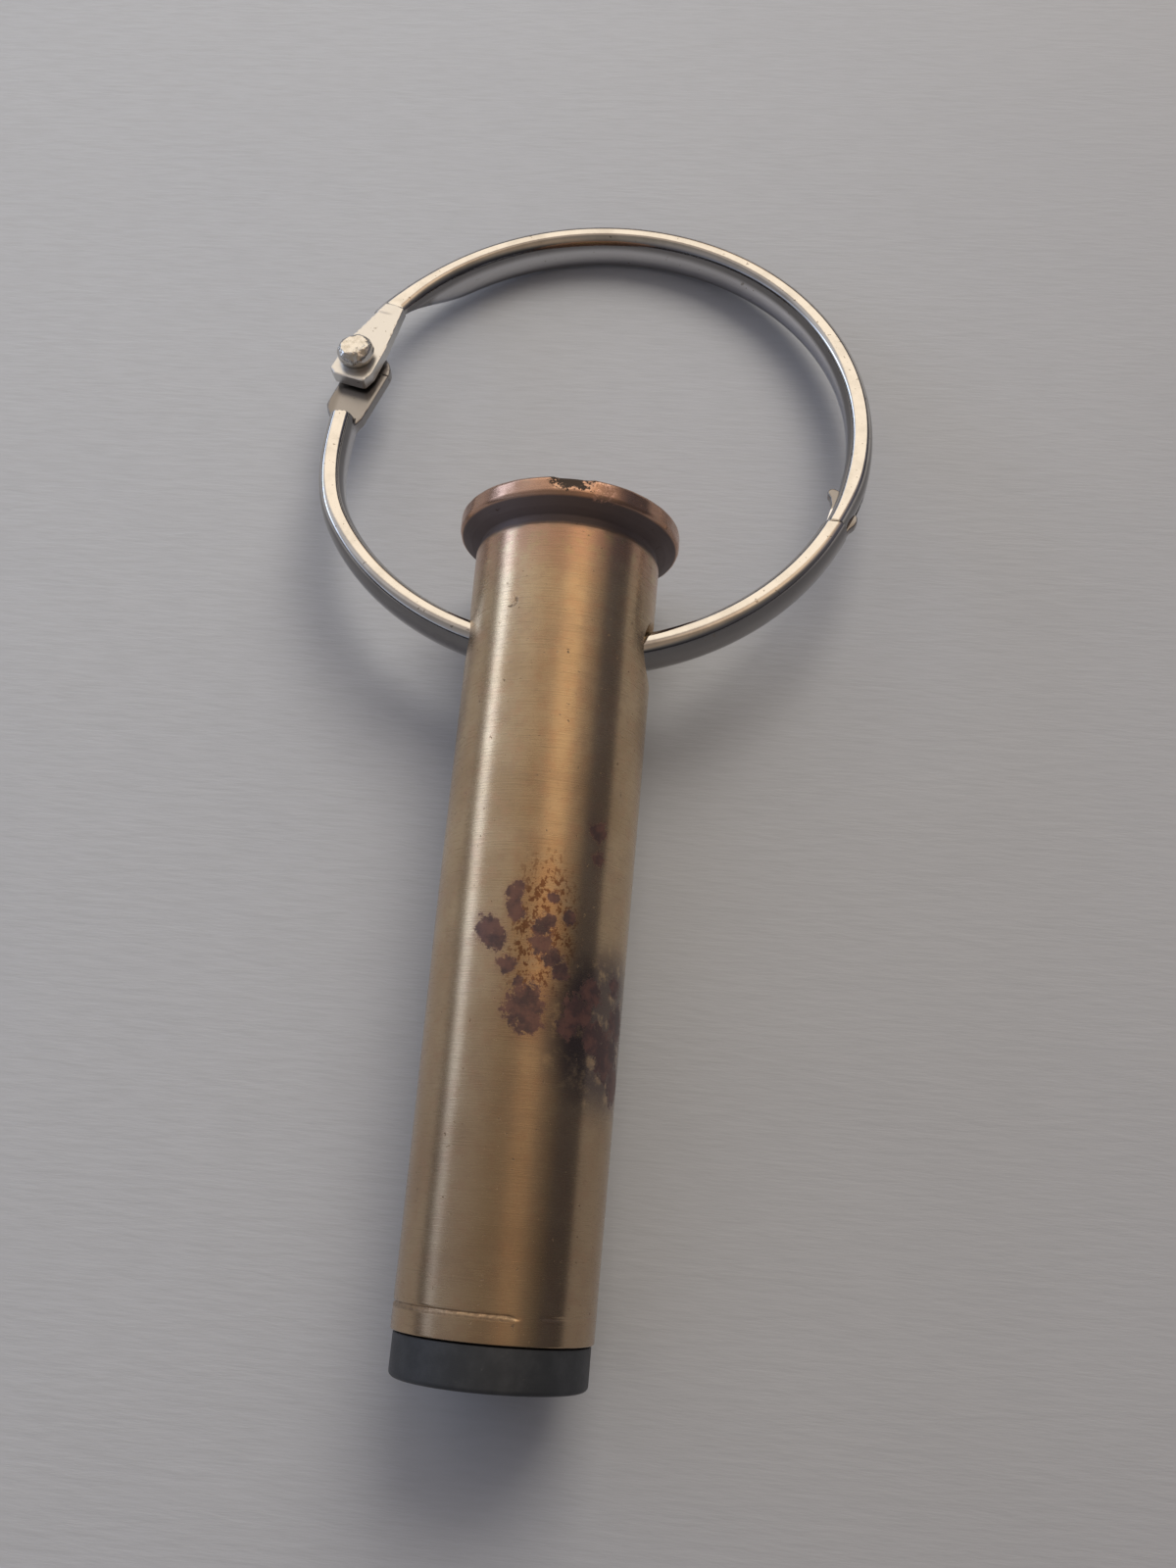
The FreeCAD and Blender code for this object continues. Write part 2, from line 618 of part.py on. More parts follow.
def draw_plate(sketch):
    """Plate round the hinge pin: round far end, straight sides, corners cut off at the wire."""
    middle = "(dim.plate_outer - dim.plate_inner) / 2"
    radius = number("dim.plate_outer + dim.plate_inner") / 2
    wide_end = "dim.plate_length - dim.plate_shoulder"
    corners = [
        ("-dim.plate_inner", "0"),
        ("-dim.plate_inner", wide_end),
        ("-dim.plate_inner + dim.plate_shoulder", "dim.plate_length"),
        ("dim.plate_outer - dim.plate_shoulder / 2", "dim.plate_length"),
        ("dim.plate_outer", wide_end),
        ("dim.plate_outer", "0"),
    ]
    points = [Vector(number(across), number(up), 0) for across, up in corners]
    for start, end in zip(points[:-1], points[1:]):
        sketch.addGeometry(Part.LineSegment(start, end), False)
    circle = Part.Circle(Vector(number(middle), 0, 0), Vector(0, 0, 1), radius)
    arc = sketch.addGeometry(Part.ArcOfCircle(circle, math.pi, 2 * math.pi), False)
    last = len(points) - 2
    for index in range(last):
        sketch.addConstraint(Sketcher.Constraint("Coincident", index, 2, index + 1, 1))
    sketch.addConstraint(Sketcher.Constraint("Coincident", arc, 1, 0, 1))
    sketch.addConstraint(Sketcher.Constraint("Coincident", arc, 2, last, 2))
    tie(sketch, "DistanceY", arc, 3, "0")
    for index, (across, up) in enumerate(corners[:-1]):
        place_point(sketch, index, 1, across, up)
    place_point(sketch, last, 2, *corners[-1])
    draw_circle(sketch, "0", "0", "dim.pin_bore")


def make_upper_arm():
    """Upper arm: oval wire, slotted end for the tongue and flat hinge tab on top."""
    body = new_body("ring_upper_arm")
    start = "dim.closure_angle + dim.seam_angle"
    span = f"360 + dim.tab_root_angle - ({start})"
    ring_wire(body, "upper_arm", span)
    slot = new_sketch(body, "tongue_slot", "XY_Plane")
    end_frame(slot, "dim.ring_radius", "0")
    shift_sketch(slot, {"Base.z": "dim.tongue_bottom - dim.slot_gap"})
    inner = "-dim.inner_ear_reach - dim.slot_gap"
    outer = "dim.outer_ear_reach + dim.slot_gap"
    draw_outline(slot, [
        (inner, "-dim.slot_end_gap"),
        (outer, "-dim.slot_end_gap"),
        (outer, "dim.tongue_length + dim.slot_end_gap"),
        (inner, "dim.tongue_length + dim.slot_end_gap"),
    ])
    before = body.Shape.Volume
    pocket = body.newObject("PartDesign::Pocket", "tongue_slot_cut")
    pocket.Profile = slot
    pocket.setExpression("Length", "dim.tongue_thickness + 2 * dim.slot_gap")
    pocket.Reversed = True
    doc.recompute()
    if not body.Shape.Volume < before:
        raise ValueError("the tongue's slot removes nothing")
    tab = new_sketch(body, "hinge_tab", "XY_Plane")
    end_frame(tab, "dim.pivot_radius", f"360 + dim.pivot_angle - ({start})")
    outer = "dim.tab_shift + dim.tab_half_width"
    inner = "dim.tab_shift - dim.tab_half_width"
    draw_outline(tab, [
        ("dim.tab_root_shift - dim.tab_root_half_width", "-dim.tab_length"),
        ("dim.tab_root_shift + dim.tab_root_half_width", "-dim.tab_length"),
        (outer, "-dim.tab_waist"),
        (outer, "dim.tab_end - dim.tab_corner"),
        (outer + " - dim.tab_corner", "dim.tab_end"),
        (inner + " + dim.tab_corner", "dim.tab_end"),
        (inner, "dim.tab_end - dim.tab_corner"),
        (inner, "-dim.tab_waist"),
    ])
    draw_circle(tab, "0", "0", "dim.pin_bore")
    pad(body, tab, "dim.tab_thickness", "dim.tab_bottom")
    keep(body, "ring_upper_arm", turn_about_ring(start))


def make_rivet():
    """Hinge pin with a domed head above the tab and a peened foot below the plate."""
    tab_top = "dim.tab_bottom + dim.tab_thickness"
    foot = "dim.plate_bottom"
    body = new_body("hinge_rivet")
    sketch = new_sketch(body, "hinge_rivet_profile", "XZ_Plane")
    draw_outline(sketch, [
        ("0", foot + " - dim.pin_foot_height"),
        ("dim.pin_foot_flat", foot + " - dim.pin_foot_height"),
        ("dim.pin_foot_radius", foot + " - dim.pin_foot_gap"),
        ("dim.pin_radius", foot + " - dim.pin_foot_gap"),
        ("dim.pin_radius", tab_top + " + dim.pin_head_gap"),
        ("dim.pin_head_radius", tab_top + " + dim.pin_head_gap"),
        ("dim.pin_head_radius", tab_top + " + dim.pin_head_shoulder"),
        ("dim.pin_head_crown", tab_top + " + dim.pin_head_edge"),
        ("0", tab_top + " + dim.pin_head_height"),
    ])
    revolve(body, sketch)
    at_pivot = Placement(Vector(number("dim.pivot_radius"), 0, 0), Rotation())
    keep(body, "hinge_rivet", turn_about_ring("dim.pivot_angle") * at_pivot)


def check_and_write():
    """Stop if anything failed to compute, and write each sub-part to its own STEP file."""
    doc.recompute()
    for item in doc.Objects:
        if "Invalid" in item.State or "Error" in item.State:
            raise ValueError(f"{item.Name} did not compute: {item.State}")
    for piece in sub_parts:
        if piece.Shape.isNull() or not piece.Shape.isValid():
            raise ValueError(f"{piece.Label} has no valid shape")
    os.makedirs("parts", exist_ok=True)
    for piece in sub_parts:
        piece.Shape.exportStep(f"parts/{piece.Label}.step")
        box = piece.Shape.optimalBoundingBox()
        print(f"{piece.Label}: {len(piece.Shape.Solids)} solid(s), {piece.Shape.Volume:.2f} mm3, "
              f"x {box.XMin:.2f} to {box.XMax:.2f}, y {box.YMin:.2f} to {box.YMax:.2f}, "
              f"z {box.ZMin:.2f} to {box.ZMax:.2f}")


def main():
    fill_sheet()
    in_case = case_placement()
    make_case(in_case)
    make_primer(in_case)
    make_sleeve(in_case)
    make_tail(in_case)
    make_cells(in_case)
    make_bezel(in_case)
    make_seal("neck_seal", "dim.groove_radius + dim.ring_seal_wire + dim.seal_gap",
              "(dim.groove_front + dim.groove_back) / 2", "dim.ring_seal_wire", in_case)
    make_optics(in_case)
    make_board(in_case)
    make_lamp(in_case)
    make_lower_arm()
    make_upper_arm()
    make_rivet()
    check_and_write()


main()
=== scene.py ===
import json
import math

import bmesh
import bpy
import numpy as np
from mathutils import Matrix, Vector, noise


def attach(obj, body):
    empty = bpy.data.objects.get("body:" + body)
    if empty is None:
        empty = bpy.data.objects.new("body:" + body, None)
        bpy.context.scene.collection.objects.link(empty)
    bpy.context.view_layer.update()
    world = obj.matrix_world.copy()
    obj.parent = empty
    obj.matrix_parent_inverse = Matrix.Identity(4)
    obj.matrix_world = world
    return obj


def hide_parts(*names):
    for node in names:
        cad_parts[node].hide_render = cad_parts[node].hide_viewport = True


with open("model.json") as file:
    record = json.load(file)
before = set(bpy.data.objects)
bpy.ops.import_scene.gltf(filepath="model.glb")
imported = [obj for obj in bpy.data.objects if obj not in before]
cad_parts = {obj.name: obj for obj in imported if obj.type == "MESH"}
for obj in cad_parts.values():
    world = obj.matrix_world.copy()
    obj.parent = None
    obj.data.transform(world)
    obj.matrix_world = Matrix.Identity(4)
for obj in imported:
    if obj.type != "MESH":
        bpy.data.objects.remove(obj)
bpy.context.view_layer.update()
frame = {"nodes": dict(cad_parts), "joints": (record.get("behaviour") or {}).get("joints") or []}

# Keychain flashlight in a spent brass cartridge case, on a hinged split ring.
#
# Three working frames, all in millimetres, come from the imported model's own joints:
#   case frame:  X across, Y up, Z along the case axis from the back of the head to the mouth
#   ring frame:  the ring's plane, X across, Y away from the case, Z up, origin at its centre
#   pivot frame: on the hinge pin, X outwards from the ring's centre, Y along the wire, Z up
# Each piece is modelled in one of them, keeps those coordinates in the attribute LOCAL for its
# material, and is then carried to the row frame in metres.

MM = 0.001
LOCAL = "local_mm"
SHARP = math.radians(32)
ARC_POINTS = 7      # on a rounded corner of a profile
JOINTS = {joint["name"]: joint for joint in frame["joints"]}


# ------------------------------------------------------------------ working frames

def frame_matrix(origin, x, y, z):
    """Matrix from a working frame in millimetres to the row frame in metres."""
    columns = [Vector(axis) * MM for axis in (x, y, z)] + [Vector(origin)]
    return Matrix([[columns[c][r] for c in range(4)] for r in range(3)] + [[0, 0, 0, 1]])


def case_frame():
    """From the joint that turns the light head, whose origin is on the collar's back face."""
    twist = JOINTS["head_twist"]
    along = -Vector(twist["axis"])
    across = Vector((1, 0, 0))
    origin = Vector(twist["pos_m"]) - along * COLLAR_BACK * MM
    return frame_matrix(origin, across, along.cross(across), along)


def ring_frame():
    """From the two ring joints: the hinge gives the plane, the cross hole gives the centre."""
    normal = Vector(JOINTS["ring_open"]["axis"])
    across = Vector((1, 0, 0))
    away = normal.cross(across)
    centre = Vector(JOINTS["ring_swing"]["pos_m"]) + away * (RING_RADIUS - CROSSING_INSET) * MM
    centre.x = 0.0
    return frame_matrix(centre, across, away, normal)


def polar(radius, angle):
    """Point of the ring's plane at an angle from the case's side, in degrees, towards +X."""
    return Vector((radius * math.sin(math.radians(angle)),
                   -radius * math.cos(math.radians(angle)), 0))


COLLAR_BACK = 53.56
RING_RADIUS = 20.0
CROSSING_INSET = 0.55
PIVOT_RADIUS = 19.35
PIVOT_ANGLE = -106.2
CLOSURE_ANGLE = 65.2
SEAM_GAP_ANGLE = 0.34
BEVEL_ANGLE = 0.14
SLOT_END = 4.15
WIRE_ROOT_ANGLE = -90.8
CASE = case_frame()
RING = ring_frame()


# ------------------------------------------------------------------ mesh helpers

def link(name, data):
    """Puts new data in the scene."""
    obj = bpy.data.objects.new(name, data)
    bpy.context.scene.collection.objects.link(obj)
    return obj


def save(work, mesh):
    """Ends the work on a mesh."""
    work.to_mesh(mesh)
    work.free()


def mesh_object(name, verts, faces):
    mesh = bpy.data.meshes.new(name)
    mesh.from_pydata([tuple(vert) for vert in verts], [], faces)
    mesh.validate()
    work = bmesh.new()
    work.from_mesh(mesh)
    bmesh.ops.remove_doubles(work, verts=work.verts, dist=1e-5)
    bmesh.ops.recalc_face_normals(work, faces=work.faces)
    save(work, mesh)
    return link(name, mesh)


def round_corners(corners, closed):
    """Points of a profile whose corners (radius, station, fillet) are rounded by arcs."""
    count = len(corners)
    places = np.array(corners, float)[:, :2]
    points = []
    for index, here in enumerate(places):
        fillet = corners[index][2]
        if fillet <= 0 or (not closed and index in (0, count - 1)):
            points.append(here)
            continue
        before = places[index - 1] - here
        after = places[(index + 1) % count] - here
        room = 0.48 * min(np.linalg.norm(before), np.linalg.norm(after))
        before /= np.linalg.norm(before)
        after /= np.linalg.norm(after)
        half = math.acos(np.clip(before @ after, -1, 1)) / 2
        if half > math.radians(88):
            points.append(here)
            continue
        reach = min(fillet / math.tan(half), room)
        arc_radius = reach * math.tan(half)
        middle = before + after
        centre = here + middle / np.linalg.norm(middle) * arc_radius / math.sin(half)
        start, end = here + before * reach - centre, here + after * reach - centre
        sweep = math.pi - 2 * half
        for share in np.linspace(0, 1, ARC_POINTS):
            mixed = (math.sin((1 - share) * sweep) * start + math.sin(share * sweep) * end)
            points.append(centre + mixed / math.sin(sweep))
    return np.array(points)


def densify(points, spacing, closed):
    """Adds points so that no step of the profile is longer than spacing(radius, station)."""
    ring = list(points) + ([points[0]] if closed else [])
    dense = []
    for start, end in zip(ring[:-1], ring[1:]):
        middle = (start + end) / 2
        count = max(1, math.ceil(np.linalg.norm(end - start) / spacing(*middle)))
        dense += [start + (end - start) * k / count for k in range(count)]
    return np.array(dense if closed else dense + [ring[-1]])


def lathe(name, profile, segments, closed=False, shape=None):
    """Turns a profile of (radius, station) about Z. shape(verts) may move the vertices."""
    angles = np.linspace(0, 2 * math.pi, segments, endpoint=False)
    verts, rows = [], []
    for radius, station in profile:
        if radius < 1e-6:
            rows.append([len(verts)] * segments)
            verts.append((0.0, 0.0, station))
        else:
            rows.append(range(len(verts), len(verts) + segments))
            verts += [(radius * math.sin(a), radius * math.cos(a), station) for a in angles]
    faces = []
    for low, high in zip(rows, rows[1:] + rows[:1] if closed else rows[1:]):
        for k in range(segments):
            after = (k + 1) % segments
            face = list(dict.fromkeys((low[k], low[after], high[after], high[k])))
            if len(face) > 2:
                faces.append(face)
    verts = np.array(verts)
    return mesh_object(name, verts if shape is None else shape(verts), faces)


def turned(name, corners, segments, closed=True, spacing=None, shape=None):
    """A lathe piece from rounded corners."""
    profile = round_corners(corners, closed)
    if spacing is not None:
        profile = densify(profile, spacing, closed)
    return lathe(name, profile, segments, closed, shape)


def tube_faces(rows, count):
    """Faces between rows of vertices that run round a tube."""
    return [[row * count + k, row * count + (k + 1) % count,
             (row + 1) * count + (k + 1) % count, (row + 1) * count + k]
            for row in range(rows - 1) for k in range(count)]


def clean_cut(mesh):
    """Takes out the slivers and the folded pairs of faces that a cut can leave."""
    work = bmesh.new()
    work.from_mesh(mesh)
    bmesh.ops.remove_doubles(work, verts=work.verts, dist=0.0006)
    bmesh.ops.dissolve_degenerate(work, edges=work.edges, dist=0.0006)
    bmesh.ops.triangulate(work, faces=[face for face in work.faces if len(face.verts) > 4])
    work.verts.index_update()
    found, folded = {}, []
    for face in work.faces:
        corners = frozenset(vert.index for vert in face.verts)
        if corners in found:
            folded += [face, found[corners]]
        found[corners] = face
    bmesh.ops.delete(work, geom=folded, context="FACES")
    save(work, mesh)


def boolean(obj, cutter, operation="DIFFERENCE"):
    """Applies a cut or a union, and removes the tool."""
    modifier = obj.modifiers.new("cut", "BOOLEAN")
    modifier.operation = operation
    modifier.solver = "EXACT"
    modifier.object = cutter
    evaluated = obj.evaluated_get(bpy.context.evaluated_depsgraph_get())
    mesh = bpy.data.meshes.new_from_object(evaluated)
    obj.modifiers.clear()
    clean_cut(mesh)
    old = obj.data
    obj.data = mesh
    bpy.data.meshes.remove(old)
    bpy.data.objects.remove(cutter)


def prism(name, outline, bottom, top, bevel):
    """An upright prism on an outline of (x, y), with its edges rounded."""
    work = bmesh.new()
    base = work.faces.new([work.verts.new((x, y, bottom)) for x, y in outline])
    raised = bmesh.ops.extrude_face_region(work, geom=[base])
    moved = [item for item in raised["geom"] if isinstance(item, bmesh.types.BMVert)]
    bmesh.ops.translate(work, verts=moved, vec=(0, 0, top - bottom))
    bmesh.ops.recalc_face_normals(work, faces=work.faces)
    if bevel:
        bmesh.ops.bevel(work, geom=work.edges[:], offset=bevel, segments=3, profile=0.5,
                        affect="EDGES", clamp_overlap=True)
    mesh = bpy.data.meshes.new(name)
    save(work, mesh)
    return link(name, mesh)


def moved_out(verts, change):
    """Vertices moved away from the Z axis by a distance for each."""
    radius = np.hypot(verts[:, 0], verts[:, 1])
    scale = np.where(radius > 1e-6, (radius + change) / np.maximum(radius, 1e-6), 1)
    return verts * np.column_stack((scale, scale, np.ones(len(verts))))


def smoothstep(value, low, high):
    share = np.clip((value - low) / (high - low), 0, 1)
    return share * share * (3 - 2 * share)


def bell(value, middle, width):
    return np.exp(-((value - middle) / width) ** 2)


def coordinates(mesh):
    values = np.zeros(len(mesh.vertices) * 3, np.float32)
    mesh.vertices.foreach_get("co", values)
    return values


def finish_piece(obj, matrix, body, material, nodes, angle=SHARP):
    """Keeps the working coordinates, carries the mesh to the row frame and binds the piece."""
    mesh = obj.data
    attribute = mesh.attributes.new(LOCAL, "FLOAT_VECTOR", "POINT")
    attribute.data.foreach_set("vector", coordinates(mesh))
    mesh.transform(matrix)
    mesh.materials.clear()
    mesh.materials.append(material)
    mesh.shade_smooth()
    mesh.set_sharp_from_angle(angle=angle)
    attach(obj, body)
    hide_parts(*nodes)


# ------------------------------------------------------------------ material helpers

class Term:
    """A value inside a node tree that can be used in sums and products."""

    def __init__(self, nodes, socket):
        self.nodes, self.socket = nodes, socket

    def __add__(self, other):
        return self.nodes.math("ADD", self, other)

    def __sub__(self, other):
        return self.nodes.math("SUBTRACT", self, other)

    def __rsub__(self, other):
        return self.nodes.math("SUBTRACT", other, self)

    def __mul__(self, other):
        return self.nodes.math("MULTIPLY", self, other)

    def __truediv__(self, other):
        return self.nodes.math("DIVIDE", self, other)

    def __abs__(self):
        return self.nodes.math("ABSOLUTE", self)

    __radd__, __rmul__ = __add__, __mul__

    def rise(self, low, high):
        """0 below low and 1 above high; the other way round if low is above high."""
        bounds = (high, low, 1.0, 0.0) if low > high else (low, high, 0.0, 1.0)
        node = self.nodes.add("ShaderNodeMapRange", enumerate((self, *bounds)),
                              interpolation_type="SMOOTHSTEP")
        return Term(self.nodes, node.outputs[0])

    def band(self, start, full, fade, end):
        """0 below start and above end, and 1 from full to fade."""
        return self.rise(start, full) * self.rise(end, fade)


class Nodes:
    """A node tree that is built in a few words."""

    def __init__(self, owner):
        owner.use_nodes = True
        self.tree = owner.node_tree
        self.tree.nodes.clear()

    def add(self, kind, inputs=(), **properties):
        """Adds a node. inputs pairs the names or numbers of its sockets with what they get."""
        node = self.tree.nodes.new(kind)
        for key, value in properties.items():
            setattr(node, key, value)
        for key, value in dict(inputs).items():
            self.feed(node.inputs[key], value)
        return node

    def feed(self, socket, value):
        """Links a term or an output to a socket, or gives the socket a plain value."""
        if isinstance(value, Term):
            value = value.socket
        if isinstance(value, bpy.types.NodeSocket):
            self.tree.links.new(value, socket)
        else:
            socket.default_value = (*value, 1) if socket.type == "RGBA" else value

    def math(self, operation, *values):
        node = self.add("ShaderNodeMath", enumerate(values), operation=operation)
        return Term(self, node.outputs[0])

    def vector(self, operation, *values, scale=None):
        node = self.add("ShaderNodeVectorMath", enumerate(values), operation=operation)
        if scale is not None:
            self.feed(node.inputs["Scale"], scale)
        single = operation in ("LENGTH", "DISTANCE")
        return Term(self, node.outputs["Value" if single else "Vector"])

    def most(self, first, *others):
        for other in others:
            first = self.math("MAXIMUM", first, other)
        return first

    def split(self):
        node = self.add("ShaderNodeSeparateXYZ", {0: self.place})
        return [Term(self, socket) for socket in node.outputs]

    def mix(self, share, first, second):
        """Mix of two colours."""
        node = self.add("ShaderNodeMix", {0: share, 6: first, 7: second}, data_type="RGBA")
        return Term(self, node.outputs[2])


class Shader(Nodes):
    """A material's nodes. local is for a piece that keeps its working coordinates."""

    def __init__(self, name, local=True):
        self.material = bpy.data.materials.new(name)
        super().__init__(self.material)
        self.surface = self.add("ShaderNodeBsdfPrincipled")
        self.add("ShaderNodeOutputMaterial", {"Surface": self.surface.outputs[0]})
        if local:
            node = self.add("ShaderNodeAttribute", attribute_name=LOCAL)
            self.place = Term(self, node.outputs["Vector"])
        else:
            row = self.add("ShaderNodeTexCoord").outputs["Object"]
            self.place = self.vector("SCALE", row, scale=1 / MM)

    def radius(self):
        """Distance from the working frame's Z axis."""
        across, up, _ = self.split()
        return self.math("SQRT", across * across + up * up)

    def far(self, point):
        """Distance from a point of the working frame."""
        return self.vector("DISTANCE", self.place, tuple(point))

    def noise(self, scale, detail=3.0, roughness=0.55, stretch=None, shift=None):
        """Noise between about 0 and 1. scale is in cycles for each millimetre."""
        place = self.place
        if shift is not None:
            place = self.vector("ADD", place, shift)
        if stretch is not None:
            place = self.vector("MULTIPLY", place, stretch)
        node = self.add("ShaderNodeTexNoise", {
            "Vector": place, "Scale": scale, "Detail": detail, "Roughness": roughness})
        return Term(self, node.outputs[0])

    def layers(self, colour, *layers):
        """Lays colours over one another, each with its share."""
        for share, tone in layers:
            colour = self.mix(share, colour, tone)
        return colour

    def bump(self, height, depth_mm):
        node = self.add("ShaderNodeBump", {
            "Strength": 1.0, "Distance": depth_mm * MM, "Height": height})
        return node.outputs[0]

    def set(self, **values):
        """Sets the surface's sockets. Names use _ for a space."""
        for key, value in values.items():
            self.feed(self.surface.inputs[key.replace("_", " ")], value)
        return self.material


def grain_round_case(shader, amount):
    """Fine turning marks about the case's axis spread the gloss along that axis."""
    across, up, _ = shader.split()
    x_axis, y_axis = (tuple(CASE.to_3x3().col[k].normalized()) for k in (0, 1))
    round_axis = shader.vector("ADD", shader.vector("SCALE", x_axis, scale=up * -1.0),
                               shader.vector("SCALE", y_axis, scale=across))
    turn = shader.add("ShaderNodeVectorTransform", {0: round_axis}, vector_type="VECTOR",
                      convert_from="OBJECT", convert_to="WORLD")
    normal = shader.add("ShaderNodeNewGeometry").outputs["Normal"]
    tangent = shader.vector("NORMALIZE", shader.vector("CROSS_PRODUCT", normal, turn.outputs[0]))
    shader.set(Tangent=tangent, Anisotropic=amount)


def metal(name, colour, stain, roughness, local=False):
    """Plain metal with slight tone changes, fine scratches and uneven polish."""
    shader = Shader(name, local)
    tone = shader.noise(0.7, 4.0)
    fine = shader.noise(9.0, 2.0, stretch=(1.0, 0.12, 1.0))
    return shader.set(Base_Color=shader.mix(tone.rise(0.42, 0.72), colour, stain), Metallic=1.0,
                      Roughness=fine * 0.15 + (roughness - 0.05), Normal=shader.bump(fine, 0.002))


def moulded(name, colour, stain, roughness):
    """Moulded plastic, rubber or coated board with a fine surface grain."""
    shader = Shader(name, local=False)
    tone = shader.noise(0.9, 5.0)
    fine = shader.noise(14.0, 2.0)
    return shader.set(Base_Color=shader.mix(tone.rise(0.35, 0.75), colour, stain),
                      Roughness=fine * 0.14 + (roughness - 0.06), Normal=shader.bump(fine, 0.006),
                      Specular_IOR_Level=0.5)


# ------------------------------------------------------------------ brass case

TARNISH = (  # station, degrees from the top towards +X, radius of the stain
    (34.6, 6, 1.35), (35.4, 10, 0.9), (30.0, -19, 0.85), (30.6, -14, 0.75), (27.3, -3, 0.42),
    (27.8, -5, 0.50), (28.5, -5, 0.50), (29.1, -2, 0.45), (32.2, -5, 0.62), (29.9, 12, 0.6),
    (30.9, 13, 0.7), (31.6, 20, 0.65), (27.9, 17, 0.35), (29.4, 16, 0.5), (32.3, 25, 0.6),
    (33.3, 46, 0.9), (34.6, 38, 1.1), (35.6, 32, 0.7), (36.0, 52, 1.0), (36.9, 66, 1.5),
    (34.8, 76, 1.2), (32.6, 68, 0.7), (38.4, 78, 1.2), (23.3, 41, 0.7), (25.0, 43, 0.5),
    (33.2, 2, 0.35), (29.0, 28, 0.45),
)
CASE_RADIUS = 6.28      # of the tapered wall near the stains
BRASS = (0.63, 0.475, 0.300)
CRIMP = 51.90           # station of the crimp line's bottom
CRIMP_DEPTH = 0.085
BRUISE_DEPTH = 0.20


def on_case(station, degrees):
    """Point of the case's surface in the case frame."""
    angle = math.radians(degrees)
    return CASE_RADIUS * math.sin(angle), CASE_RADIUS * math.cos(angle), station


